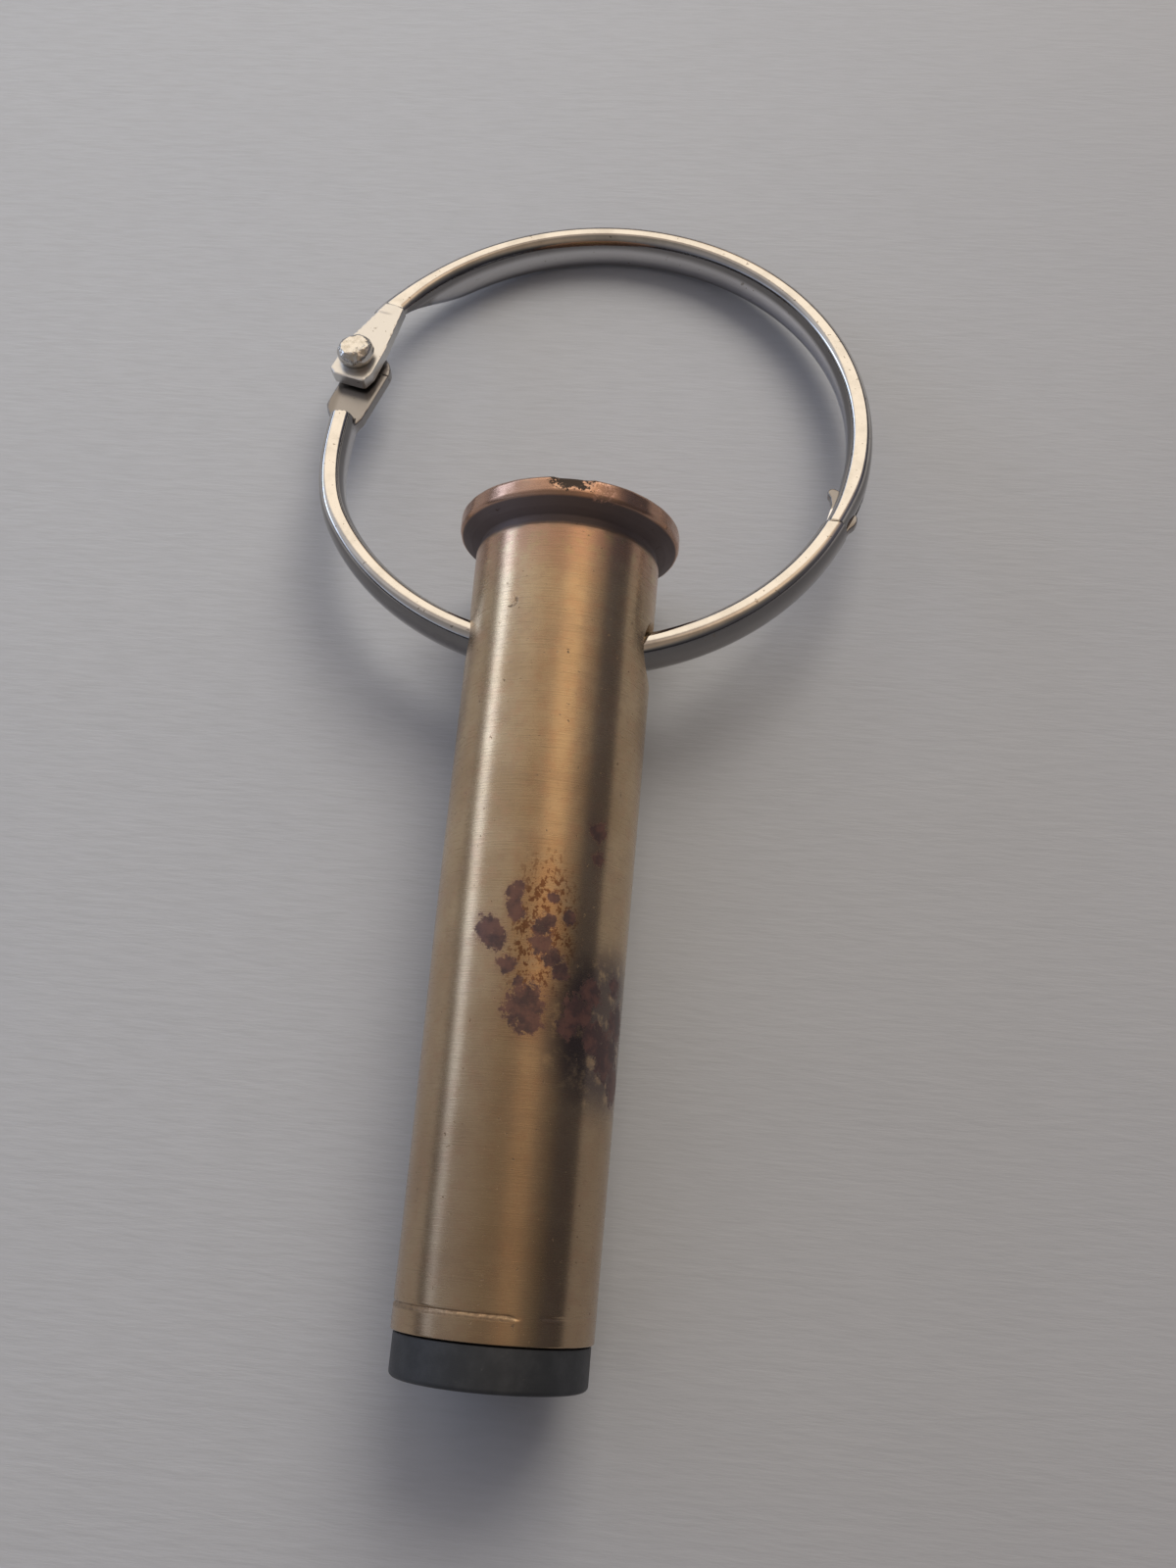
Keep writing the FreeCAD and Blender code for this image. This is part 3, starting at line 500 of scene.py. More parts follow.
def brass_material():
    shader = Shader("aged_brass")
    across, up, station = shader.split()
    angle = shader.math("DEGREES", shader.math("ARCTAN2", across, up))
    radius = shader.radius()
    marks = shader.noise(1.0, 3.0, 0.6, stretch=(0.55, 0.55, 11.0))
    long_marks = shader.noise(1.0, 2.0, 0.5, stretch=(0.2, 0.2, 26.0), shift=(7.0, 3.0, 0.0))
    cloud = shader.noise(0.16, 5.0, 0.6)
    mottle = shader.noise(0.9, 5.0, 0.65, shift=(11.0, 5.0, 2.0))
    worn = shader.noise(0.45, 6.0, 0.75, shift=(2.0, 13.0, 6.0))
    fine = shader.noise(4.5, 4.0, 0.7)

    # patina: soft clouds, worn patches and marks. The half towards the mouth is also darker and
    # browner
    colour = shader.layers(
        BRASS, (cloud.rise(0.40, 0.70), (0.52, 0.370, 0.222)),
        (worn.rise(0.48, 0.62) * 0.40, (0.47, 0.335, 0.225)),
        (mottle.rise(0.45, 0.70) * 0.50, (0.58, 0.37, 0.23)),
        (marks.rise(0.48, 0.78) * 0.36, (0.36, 0.27, 0.17)),
        (station.rise(22, 46) * 0.42, (0.30, 0.21, 0.145)))

    # copper-coloured rim; the groove in front of it is painted dark, partly tarnish and partly
    # painted shade, and made rougher; and a blush of copper beyond
    rim = (station + fine * 0.5).rise(2.9, 2.2)
    rim_tone = shader.mix(mottle.rise(0.40, 0.66), (0.50, 0.325, 0.245), (0.36, 0.245, 0.185))
    # tarnish and painted shade in the groove and on the rim's front face
    groove_tarnish_and_shade = (station.rise(1.10, 1.35) * (station + mottle * 0.5).rise(3.45, 2.75)
              * radius.band(5.9, 6.1, 7.45, 7.62))
    blush = station.rise(7.4, 3.2) * mottle.rise(0.33, 0.52) * (1.0 - groove_tarnish_and_shade)
    colour = shader.layers(colour, (rim * 0.85, rim_tone), (groove_tarnish_and_shade * 0.96, (0.235, 0.200, 0.205)),
                           (blush * 0.75, (0.56, 0.34, 0.245)))

    # stains: ragged blots in a field of specks, each blot with a halo, and a dark cloud
    ragged = (shader.noise(2.0, 8.0, 0.82) - 0.5) * 2.6
    blot = shader.most(*(1.0 - shader.far(on_case(where, degrees)) / (size * 1.25)
                         for where, degrees, size in TARNISH))
    squash = (1.0, 1.0, 0.42)
    middle = tuple(v * k for v, k in zip(on_case(30.2, 13), squash))
    squashed = shader.vector("MULTIPLY", shader.place, squash)
    field = shader.vector("DISTANCE", squashed, middle).rise(3.0, 1.2)
    grit = shader.noise(3.4, 4.0, 0.65, stretch=(1.0, 1.0, 0.75), shift=(3.0, 1.0, 8.0))
    specks = (grit + field * 0.10).rise(0.60, 0.66) * field
    warm = field * mottle.rise(0.30, 0.55)
    halo = (blot + ragged).rise(-0.30, 0.20)
    shade = shader.far(on_case(35.4, 64)).rise(6.4, 3.2) * mottle.rise(0.30, 0.50)
    stain = (blot + ragged).rise(0.16, 0.30)
    stain_tone = shader.mix(mottle.rise(0.38, 0.62), (0.060, 0.040, 0.050), (0.150, 0.080, 0.075))
    colour = shader.layers(
        colour, (warm * 0.55, (0.56, 0.33, 0.16)), (specks * 0.85, (0.20, 0.085, 0.045)),
        (halo * 0.35, (0.40, 0.24, 0.17)), (shade * 0.85, (0.13, 0.108, 0.110)),
        (stain * 0.93, stain_tone))

    # pits all over, a scuff near the head, painted shade along the crimp line that also damps the
    # highlight on its lower lip, and the bruise on the rim with bright copper beside it
    pits = shader.noise(2.6, 4.0, 0.65, shift=(20.0, 9.0, 4.0)).rise(0.675, 0.71)
    scuff = (shader.far(on_case(8.3, -25)).rise(0.50, 0.44)
             * shader.far(on_case(8.10, -28)).rise(0.50, 0.58) * fine.rise(0.35, 0.60))
    # painted shade in the crimp's crease and over the highlight on its lip
    crimp_shade = (abs(station - (CRIMP + 0.12)).rise(0.24, 0.12) * angle.rise(19, 15)
             * fine.rise(0.20, 0.70))
    spots_and_crimp_shade = shader.most(pits, scuff, crimp_shade)
    torn = (fine - 0.5) + (mottle - 0.5)
    bruise = ((angle + torn * 24.0).band(-4, -2.5, 13.5, 15) * radius.rise(7.0, 7.2)
              * (station + torn * 1.8).rise(0.98, 0.86) * mottle.rise(0.30, 0.42))
    bright = angle.band(15, 18, 26, 30) * radius.rise(7.3, 7.5) * fine.rise(0.50, 0.60)
    inside = radius.rise(5.93, 5.85) * station.rise(3.3, 3.6)
    colour = shader.layers(
        colour, (spots_and_crimp_shade * 0.75, (0.11, 0.075, 0.055)), (bruise, (0.046, 0.034, 0.029)),
        (bright, (0.86, 0.55, 0.44)), (inside * 0.6, (0.23, 0.15, 0.09)))

    dull = shader.most(stain, bruise, spots_and_crimp_shade)
    rough = marks * 0.14 + 0.19 + dull * 0.22 + groove_tarnish_and_shade * 0.40
    normal = shader.bump(marks + long_marks - spots_and_crimp_shade * 1.6, 0.0045)
    grain_round_case(shader, 0.62)
    return shader.set(Base_Color=colour, Metallic=1.0 - dull * 0.45, Roughness=rough, Normal=normal)


def shape_case(verts):
    """Crimp line that fades out and comes back, the bruise on the rim, and slight waviness."""
    across, up, station = verts.T
    radius = np.hypot(across, up)
    angle = np.degrees(np.arctan2(across, up))
    change = np.zeros(len(verts))
    outer = (radius > 5.95) & (station > 2.6)
    strong = smoothstep(angle, -120, -95) * (1 - smoothstep(angle, 17, 21))
    weak = smoothstep(angle, 31, 36) * (1 - smoothstep(angle, 78, 90)) * 0.55
    behind = 0.35 * (smoothstep(angle, 120, 140) + 1 - smoothstep(angle, -165, -130))
    line = np.clip(strong + weak + behind, 0, 1)
    hook = 0.12 * bell(angle, 18.5, 2.2)
    change -= outer * CRIMP_DEPTH * line * bell(station, CRIMP + hook, 0.085)
    wave = (0.014 * np.sin(np.radians(angle) * 3 + station * 0.21)
            + 0.010 * np.sin(np.radians(angle) * 2 - station * 0.13 + 1.7))
    change += outer * wave * smoothstep(station, 4, 9) * (1 - smoothstep(station, 49, 52.5))
    rim = (radius > 6.6) & (station < 1.7)
    dent = smoothstep(angle, -5, -1) * (1 - smoothstep(angle, 12, 17))
    dent = dent * (1 - smoothstep(station, 0.15, 1.05)) * smoothstep(radius, 6.6, 7.4)
    change -= rim * BRUISE_DEPTH * dent
    rough = np.array([noise.noise(Vector(v) * 0.9) for v in verts[rim]])
    change[rim] -= 0.035 * np.clip(rough + 0.2, 0, 1) * smoothstep(radius[rim], 6.9, 7.5)
    return moved_out(verts, change)


def hole_cutter(side):
    """Cutter for one side of the cross hole, which flares at the case like a deburred edge."""
    radius, station, wall, segments = 2.15, 9.25, 6.375, 96
    depths = (-3.0, -1.2, -0.34, -0.26, -0.18, -0.10, -0.04, 0.0, 0.1, 0.8)
    flares = (0.0, 0.0, 0.0, 0.008, 0.03, 0.075, 0.14, 0.20, 0.30, 0.6)
    verts = []
    for depth, flare in zip(depths, flares):
        for angle in np.arange(segments) * (2 * math.pi / segments):
            up = (radius + flare) * math.cos(angle)
            across = math.sqrt(wall ** 2 - up ** 2) + depth
            verts.append((side * across, up, station + (radius + flare) * math.sin(angle)))
    last = (len(depths) - 1) * segments
    faces = tube_faces(len(depths), segments)
    faces += [list(range(segments)), [last + k for k in range(segments)]]
    return mesh_object("hole_cutter", verts, faces)


def make_case(material):
    corners = [
        (2.67, 3.15, 0.08), (2.67, 0.0, 0.14), (7.72, 0.0, 0.30), (7.72, 1.25, 0.40),
        (6.85, 1.78, 0.30), (6.20, 2.05, 0.12), (6.20, 2.40, 0.12), (6.415, 2.85, 0.30),
        (6.109, 51.30, 0.0), (6.105, CRIMP, 0.0), (6.100, 52.60, 0.0), (6.095, 53.47, 0.10),
        (5.80, 53.47, 0.07), (5.80, 45.27, 0.10), (5.46, 26.0, 2.0), (4.80, 10.0, 2.0),
        (3.90, 5.6, 1.2), (1.0, 5.6, 0.15), (1.0, 3.15, 0.05),
    ]

    def spacing(radius, station):
        if radius > 5.95 and 51.3 < station < 52.6:
            return 0.04
        if radius > 6.6 and station < 1.9:
            return 0.09
        return 0.45 if radius > 5.95 else 0.9

    case = turned("case_shell", corners, 256, spacing=spacing, shape=shape_case)
    for side in (-1, 1):
        boolean(case, hole_cutter(side))
    finish_piece(case, CASE, "case", material, ["cartridge_case"])


def primer_material():
    shader = Shader("primer_brass")
    radius = shader.radius()
    station = shader.split()[2]
    tone = shader.noise(1.4, 5.0, 0.6)
    fine = shader.noise(7.0, 3.0, 0.6)
    colour = shader.mix(tone.rise(0.40, 0.70), (0.66, 0.47, 0.25), (0.48, 0.31, 0.17))
    soot = shader.most(radius.rise(2.30, 2.62), station.rise(0.22, 0.50)) * fine.rise(0.25, 0.60)
    colour = shader.mix(soot * 0.75, colour, (0.07, 0.05, 0.04))
    return shader.set(Base_Color=colour, Metallic=1.0, Roughness=fine * 0.2 + 0.24,
                      Normal=shader.bump(fine, 0.006))


def make_primer(material):
    """Struck primer: the firing pin's dent has a soft lip and a round bottom."""
    back = 0.12
    corners = [(radius, back + height, fillet) for radius, height, fillet in (
        (0.0, 0.45, 0.0), (0.25, 0.43, 0.0), (0.48, 0.35, 0.0), (0.68, 0.20, 0.0),
        (0.84, 0.06, 0.0), (0.98, 0.0, 0.0), (1.12, -0.015, 0.0), (1.35, 0.0, 0.0),
        (2.66, 0.0, 0.30), (2.66, 2.95, 0.05), (2.11, 2.95, 0.05), (2.11, 1.0, 0.3),
        (0.0, 1.0, 0.0))]
    cup = turned("primer_shell", corners, 96, closed=False)
    finish_piece(cup, CASE, "case", material, ["primer_cup"])


# ------------------------------------------------------------------ light head

def threads(low, high, depth):
    """Moves vertices in by a screw thread between two stations, or out by a negative depth."""
    pitch = 0.75

    def shape(verts):
        across, up, station = verts.T
        radius = np.hypot(across, up)
        turn = np.arctan2(across, up) / (2 * math.pi)
        wave = np.abs(((station / pitch - turn) % 1.0) - 0.5) * 2
        ends = smoothstep(station, low, low + 0.4) * (1 - smoothstep(station, high - 0.4, high))
        near = (radius > 4.9) & (radius < 5.2)
        return moved_out(verts, near * -depth * smoothstep(wave, 0.25, 0.95) * ends)
    return shape


def bezel_material():
    shader = Shader("slate_anodised")
    mottle = shader.noise(0.55, 5.0, 0.6)
    fine = shader.noise(8.0, 3.0, 0.6)
    marks = shader.noise(1.0, 2.0, 0.5, stretch=(0.35, 0.35, 9.0))
    rubs = shader.noise(1.0, 6.0, 0.75, stretch=(1.0, 1.0, 2.2), shift=(4, 9, 1)).rise(0.64, 0.72)
    colour = shader.mix(mottle.rise(0.35, 0.70), (0.034, 0.039, 0.048), (0.051, 0.057, 0.069))
    colour = shader.mix(rubs * 0.35, colour, (0.15, 0.15, 0.15))
    return shader.set(Base_Color=colour, Metallic=0.35, Roughness=fine * 0.22 + 0.42,
                      Normal=shader.bump(fine + marks * 0.8, 0.005))


def make_bezel():
    corners = [
        (4.35, 45.0, 0.10), (5.00, 45.0, 0.20), (5.00, 52.60, 0.05), (4.62, 52.60, 0.05),
        (4.62, 53.20, 0.05), (5.00, 53.20, 0.05), (5.00, 53.56, 0.0), (5.93, 53.56, 0.10),
        (5.93, 56.06, 0.32), (4.30, 56.06, 0.10), (3.90, 55.80, 0.05), (3.90, 55.61, 0.04),
        (4.35, 55.61, 0.0),
    ]

    def spacing(radius, station):
        return 0.07 if 4.9 < radius < 5.1 and station < 52.7 else 0.5

    bezel = turned("head_bezel", corners, 192, spacing=spacing, shape=threads(45.2, 52.4, 0.16))
    finish_piece(bezel, CASE, "light_head", bezel_material(), ["bezel"])


def clear_material(name, colour, ior, cloud, start, haze):
    """Clear plastic with a faint uneven haze. cloud is the scale and detail of its noise."""
    shader = Shader(name)
    return shader.set(Base_Color=colour, IOR=ior, Transmission_Weight=1.0,
                      Roughness=shader.noise(*cloud).rise(start, 0.9) * haze)


def make_window():
    clear = clear_material("window_clear", (0.97, 0.985, 0.98), 1.49, (0.6, 4.0), 0.45, 0.06)
    lens = turned("window", [
        (0.0, 54.79, 0.0), (4.28, 54.79, 0.08), (4.28, 55.57, 0.10), (0.0, 55.585, 0.0)],
        128, closed=False, spacing=lambda radius, station: 0.4)
    finish_piece(lens, CASE, "light_head", clear, ["front_lens"])


def make_reflector():
    mirror = Shader("reflector_metal")
    waves = mirror.noise(2.4, 3.0)
    silver = mirror.set(Base_Color=(0.84, 0.85, 0.87), Metallic=1.0, Roughness=waves * 0.10 + 0.05,
                        Normal=mirror.bump(waves, 0.010))
    throat, mouth, back, rim, steps, wall = 2.62, 3.70, 48.60, 54.15, 14, 0.30
    shares = [k / steps for k in range(steps + 1)]
    inner = [(throat + (mouth - throat) * math.sqrt(share), back + (rim - back) * share, 0.0)
             for share in shares]
    flange = [(4.32, rim, 0.08), (4.32, rim - 0.35, 0.08)]
    outer = [(min(r + wall, 4.0), s - 0.12, 0.0) for r, s, _ in inner[-2:0:-1]]
    cup = turned("reflector_cup", inner + flange + outer + [(throat + wall, back, 0.05)], 128)
    finish_piece(cup, CASE, "light_head", silver, ["reflector"],
                 math.radians(50))


def make_lamp():
    """Five-millimetre lamp: the flange has a flat over the shorter leg, and the tip is a lens."""
    foot, tip, radius = 46.32, 54.22, 2.50

    def flat_side(verts):
        flange = verts[:, 2] < foot + 1.02
        verts[flange, 0] = np.minimum(verts[flange, 0], 2.55)
        return verts

    corners = [(0.0, foot, 0.0), (2.90, foot, 0.10), (2.90, foot + 1.0, 0.14),
               (radius, foot + 1.0, 0.08)]
    corners += [(radius * math.cos(t), tip - radius + radius * math.sin(t), 0.0)
                for t in map(math.radians, range(0, 91, 6))]
    lamp = turned("lamp_lens", corners, 96, closed=False, spacing=lambda r, s: 0.5, shape=flat_side)
    epoxy = clear_material("lamp_epoxy", (0.93, 0.95, 0.97), 1.52, (0.8, 3.0), 0.35, 0.08)
    finish_piece(lamp, CASE, "light_head", epoxy, ["lamp_body"])


# ------------------------------------------------------------------ inside the case

def make_sleeve():
    nickel = metal("sleeve_metal", (0.66, 0.63, 0.57), (0.55, 0.51, 0.44), 0.30, local=True)
    corners = [
        (5.06, 44.90, 0.05), (5.06, 53.30, 0.06), (5.78, 53.30, 0.08), (5.78, 46.27, 0.25),
        (5.30, 46.27, 0.15), (5.30, 27.50, 0.25), (4.45, 27.50, 0.05), (4.45, 44.90, 0.05),
    ]
    sleeve = turned("battery_sleeve", corners, 160, shape=threads(45.0, 52.6, -0.15),
                    spacing=lambda radius, station: 0.07 if 5.0 < radius < 5.1 else 0.9)
    finish_piece(sleeve, CASE, "case", nickel, ["threaded_sleeve"])


def cell_material():
    shader = Shader("cell_steel")
    gasket = shader.radius().band(2.84, 2.90, 3.22, 3.30)
    fine = shader.noise(10.0, 3.0)
    return shader.set(Base_Color=shader.mix(gasket, (0.62, 0.61, 0.60), (0.07, 0.08, 0.09)),
                      Metallic=1.0 - gasket, Roughness=fine * 0.16 + 0.24,
                      Normal=shader.bump(fine, 0.003))


def make_cells():
    steel = cell_material()
    for index in range(3):
        back = 33.40 + 3.62 * index
        corners = [(radius, back + height, fillet) for radius, height, fillet in (
            (0.0, 0.0, 0.0), (2.60, 0.0, 0.12), (2.88, 0.30, 0.08), (2.88, 0.42, 0.05),
            (3.20, 0.42, 0.05), (3.25, 0.50, 0.05), (3.95, 0.62, 0.35), (3.95, 3.60, 0.25),
            (0.0, 3.60, 0.0))]
        cell = turned(f"button_cell_{index + 1}", corners, 96, closed=False)
        finish_piece(cell, CASE, "case", steel, [f"cell_{index + 1}"])


def dress_inner_parts():
    """Materials of the CAD nodes that stay in view."""
    board = Shader("board_green", local=False)
    weave = board.noise(5.0, 2.0, stretch=(1.0, 6.0, 1.0))
    green = board.mix(weave.rise(0.35, 0.7), (0.012, 0.085, 0.040), (0.020, 0.125, 0.058))
    board.set(Base_Color=green, Roughness=0.36, Normal=board.bump(weave, 0.004))
    rubber = moulded("seal_rubber", (0.018, 0.018, 0.019), (0.030, 0.030, 0.031), 0.62)
    gold = metal("contact_brass", (0.80, 0.62, 0.30), (0.70, 0.50, 0.24), 0.24)
    materials = {
        "circuit_board": board.material, "ground_track": gold, "centre_contact": gold,
        "lens_gasket": rubber, "neck_seal": rubber,
        "tail_plug": metal("plug_metal", (0.62, 0.60, 0.56), (0.50, 0.47, 0.42), 0.34),
        "tail_spring": metal("spring_steel", (0.56, 0.56, 0.57), (0.40, 0.40, 0.41), 0.26),
        "lamp_leads": metal("lead_steel", (0.66, 0.65, 0.63), (0.54, 0.53, 0.51), 0.22),
        "primer_anvil": metal("anvil_brass", (0.52, 0.38, 0.20), (0.30, 0.22, 0.14), 0.36),
        "cell_holder": moulded("holder_plastic", (0.70, 0.69, 0.65), (0.60, 0.59, 0.55), 0.48),
        "resistor": moulded("chip_black", (0.02, 0.02, 0.022), (0.035, 0.035, 0.037), 0.42),
    }
    for node, material in materials.items():
        mesh = frame["nodes"][node].data
        mesh.materials.clear()
        mesh.materials.append(material)


# ------------------------------------------------------------------ split ring

WIRE_RADIAL, WIRE_AXIAL = 0.953, 1.60
FLAT_TOP, ROUND_SIDE = 3.2, 2.1     # powers of the wire's section across and upwards
SECTION_POINTS = 128
TAB_ROOT = -5.0     # where the upper wire ends on the tab
TAB_BOTTOM, TAB_TOP = 0.65, 1.60
PLATE_BOTTOM, PLATE_TOP = -0.50, 0.40
UP = np.array((0.0, 0.0, 1.0))


def pivot_axes():
    """Origin, outward and along axes of the pivot frame, in the ring frame."""
    out = np.array(polar(1.0, PIVOT_ANGLE))
    along = np.array((-out[1], out[0], 0.0))
    return np.array(polar(PIVOT_RADIUS, PIVOT_ANGLE)), out, along


PIVOT, OUT, ALONG = pivot_axes()


def to_pivot(points):
    """Ring-frame points in the pivot frame: outward, along and up."""
    away = points - PIVOT
    return away @ OUT, away @ ALONG, points[..., 2]


def from_pivot(out, along, up=0.0):
    return PIVOT + OUT * out + ALONG * along + UP * up


def ring_angle(points, start):
    """Angle of ring-frame points from the case's side, in degrees, from start upwards."""
    angle = np.degrees(np.arctan2(points[..., 0], -points[..., 1]))
    return (angle - start) % 360 + start


def oval(out, up, half_out, middle, half_up):
    """Below 0 inside an oval section with flattened sides; about the distance outside it."""
    reach = np.abs(out / half_out) ** FLAT_TOP + np.abs((up - middle) / half_up) ** ROUND_SIDE
    return (reach ** (1 / FLAT_TOP) - 1) * half_out


def slab(outline, bottom, top, rounding, out, along, up):
    """Below 0 inside an upright plate on a convex outline, with rounded edges."""
    side = np.full(out.shape, -1e9)
    count = len(outline)
    for k in range(count):
        (x0, y0), (x1, y1) = outline[k], outline[(k + 1) % count]
        length = math.hypot(x1 - x0, y1 - y0)
        side = np.maximum(side, ((out - x0) * (y1 - y0) - (along - y0) * (x1 - x0)) / length)
    return rounded_edge(side, np.abs(up - (top + bottom) / 2) - (top - bottom) / 2, rounding)


def rounded_edge(side, end, rounding):
    a, b = side + rounding, end + rounding
    outside = np.hypot(np.maximum(a, 0), np.maximum(b, 0))
    return np.minimum(np.maximum(a, b), 0) + outside - rounding


def soft_union(a, b, width):
    share = np.clip(0.5 + 0.5 * (b - a) / width, 0, 1)
    return b + (a - b) * share - width * share * (1 - share)


ROOT_STEP = 1.05    # how far the lower wire starts inside the ring's circle
TAB = [(0.35, -5.90), (1.42, -1.70), (1.50, 1.60), (0.95, 2.10), (-1.55, 2.03), (-1.85, 1.10),
       (-1.75, -1.60), (-1.25, -5.90)]
PLATE_OUTER, PLATE_INNER = 0.95, 2.45
PLATE = [(PLATE_OUTER, 0.0), (0.85, 4.10), (0.45, 4.75), (-0.45, 5.75), (-2.10, 5.75),
         (-2.42, 4.60), (-PLATE_INNER, 0.0)]


def lower_radius(angle):
    """Radius of the lower wire's middle: it starts inside the circle, next to the plate."""
    out = smoothstep(angle, WIRE_ROOT_ANGLE - 2, WIRE_ROOT_ANGLE + 30)
    return RING_RADIUS - ROOT_STEP * (1 - out)


def upper_shape(points):
    """Upper arm: the wire thins from below into the flat tab, and slims towards the closure."""
    out, along, up = to_pivot(points)
    angle = ring_angle(points, 0)
    radial = np.hypot(points[..., 0], points[..., 1]) - RING_RADIUS
    ahead = np.radians(angle - CLOSURE_ANGLE) * RING_RADIUS
    slim = 1 - smoothstep(ahead, 0.4, 5.0)
    inner = WIRE_RADIAL - 0.20 * slim
    half_out = np.where(radial < 0, inner, WIRE_RADIAL - 0.24 * slim)
    rise = smoothstep(along, TAB_ROOT - 7.0, TAB_ROOT - 0.2) * (angle > 180)
    bottom = -WIRE_AXIAL + (TAB_BOTTOM + WIRE_AXIAL - 0.05) * rise
    middle, half_up = (WIRE_AXIAL + bottom) / 2, (WIRE_AXIAL - bottom) / 2
    wire = oval(radial, up, half_out, middle, half_up)
    wire = np.where(angle > 180, rounded_edge(wire, along - TAB_ROOT - 0.05, 0.10), wire)
    tab = slab(TAB, TAB_BOTTOM, TAB_TOP, 0.10, out, along, up)
    tab = np.where(angle > 180, tab, 1e3)
    return soft_union(wire, tab, 0.16)


def lower_shape(points):
    """Lower arm: the wire stands up steeply out of the flat plate that carries the pin."""
    out, along, up = to_pivot(points)
    angle = ring_angle(points, -180)
    radial = np.hypot(points[..., 0], points[..., 1]) - lower_radius(angle)
    behind = np.radians(angle - WIRE_ROOT_ANGLE) * RING_RADIUS
    rise = smoothstep(behind, -0.16, 0.30)
    height = 0.25 + (WIRE_AXIAL - 0.25) * rise
    wire = oval(radial, up, WIRE_RADIAL, 0.0, height)
    wire = np.maximum(wire, -0.14 - behind)
    plate = slab(PLATE, PLATE_BOTTOM, PLATE_TOP, 0.12, out, along, up)
    middle, half = (PLATE_OUTER - PLATE_INNER) / 2, (PLATE_OUTER + PLATE_INNER) / 2
    end = np.hypot(out - middle, along) - half
    end = rounded_edge(end, np.abs(up - (PLATE_TOP + PLATE_BOTTOM) / 2)
                       - (PLATE_TOP - PLATE_BOTTOM) / 2, 0.12)
    plate = np.where(along < 0, end, plate)
    return soft_union(wire, plate, 0.14)


def section_angles():
    """Directions round a section, closer together where a thin plate has its edges."""
    turn = np.linspace(0, 2 * math.pi, 4001)
    weight = 1 + 2.2 * np.exp(-(np.sin(turn) / 0.36) ** 2)
    total = np.concatenate(([0], np.cumsum((weight[1:] + weight[:-1]) / 2)))
    wanted = np.linspace(0, total[-1], SECTION_POINTS, endpoint=False)
    return np.interp(wanted, total, turn)


def cast(origins, directions, shape):
    """Where rays from inside a shape meet its surface."""
    low = np.zeros(origins.shape[:-1])
    high = np.full(origins.shape[:-1], 4.0)
    for _ in range(30):
        middle = (low + high) / 2
        inside = shape(origins + directions * middle[..., None]) < 0
        low, high = np.where(inside, middle, low), np.where(inside, high, middle)
    return origins + directions * low[..., None]


def cast_tube(name, centres, headings, shape, fan=0):
    """A tube whose sections are cast from centres, square to the headings.

    The first end is closed by a flat face with a small bevel. The other end is too, unless fan is
    set: then rays swing forward in that many steps to close a round end."""
    round_angles = section_angles()
    sides = np.cross(headings, UP)
    spokes = (np.cos(round_angles)[None, :, None] * sides[:, None, :]
              + np.sin(round_angles)[None, :, None] * UP)
    origins = np.repeat(centres[:, None, :], len(round_angles), axis=1)
    rows = [*cast(origins, spokes, shape)]
    bevel = 0.10
    rows.insert(0, centres[0] + (rows[0] - centres[0]) * (1 - bevel) - headings[0] * bevel)
    centre_first = centres[0] - headings[0] * bevel
    if fan:
        for tilt in np.linspace(0, math.pi / 2, fan + 1)[1:-1]:
            tilted = spokes[-1] * math.cos(tilt) + headings[-1] * math.sin(tilt)
            rows.append(cast(origins[-1], tilted, shape))
        centre_last = cast(centres[-1][None], headings[-1][None], shape)[0]
    else:
        rows.append(centres[-1] + (rows[-1] - centres[-1]) * (1 - bevel) + headings[-1] * bevel)
        centre_last = centres[-1] + headings[-1] * bevel
    count = len(round_angles)
    verts = np.concatenate(rows + [centre_first[None], centre_last[None]])
    first, last = len(rows) * count, (len(rows) - 1) * count
    faces = tube_faces(len(rows), count)
    faces += [[first, (k + 1) % count, k] for k in range(count)]
    faces += [[first + 1, last + k, last + (k + 1) % count] for k in range(count)]
    return mesh_object(name, verts, faces)


def headings_of(centres):
    steps = np.gradient(centres, axis=0)
    return steps / np.linalg.norm(steps, axis=1)[:, None]


def slant(obj):
    """Turns the seam between the arms out of square, with everything near it."""
    mesh = obj.data
    points = coordinates(mesh).reshape(-1, 3).astype(float)
    ahead = np.radians(ring_angle(points, -180) - CLOSURE_ANGLE) * RING_RADIUS
    radial = np.hypot(points[:, 0], points[:, 1]) - RING_RADIUS
    shift = 0.40 * np.clip(radial, -1.0, 1.0) * bell(ahead, 0.0, 1.1)
    points += np.array(polar(1.0, CLOSURE_ANGLE + 90)) * shift[:, None]
    mesh.vertices.foreach_set("co", points.astype(np.float32).ravel())
    mesh.update()


def place_at_closure(obj):
    """Moves a tool to the ring frame from the closure's (X outwards, Y along the wire)."""
    turn = Matrix.Rotation(math.radians(CLOSURE_ANGLE - 90), 4, "Z")
    obj.data.transform(Matrix.Translation(polar(RING_RADIUS, CLOSURE_ANGLE)) @ turn)
    return obj


def pin_bore():
    tool = lathe("pin_bore", [(0.0, -3.0), (0.80, -3.0), (0.80, 3.0), (0.0, 3.0)], 48)
    tool.data.transform(Matrix.Translation(Vector(PIVOT)))
    return tool


def wire_stations(start, end, fine_start=False, fine_end=False):
    """Angles along the wire, closer together near an end that needs it."""
    near, fine = 9, 0.35
    angles = list(np.arange(start, end, 1.0))
    if fine_start:
        angles = [*np.arange(start, start + near, fine), *(a for a in angles if a >= start + near)]
    if fine_end:
        angles = [*(a for a in angles if a <= end - near), *np.arange(end - near, end, fine)]
    return np.array(angles + [end])


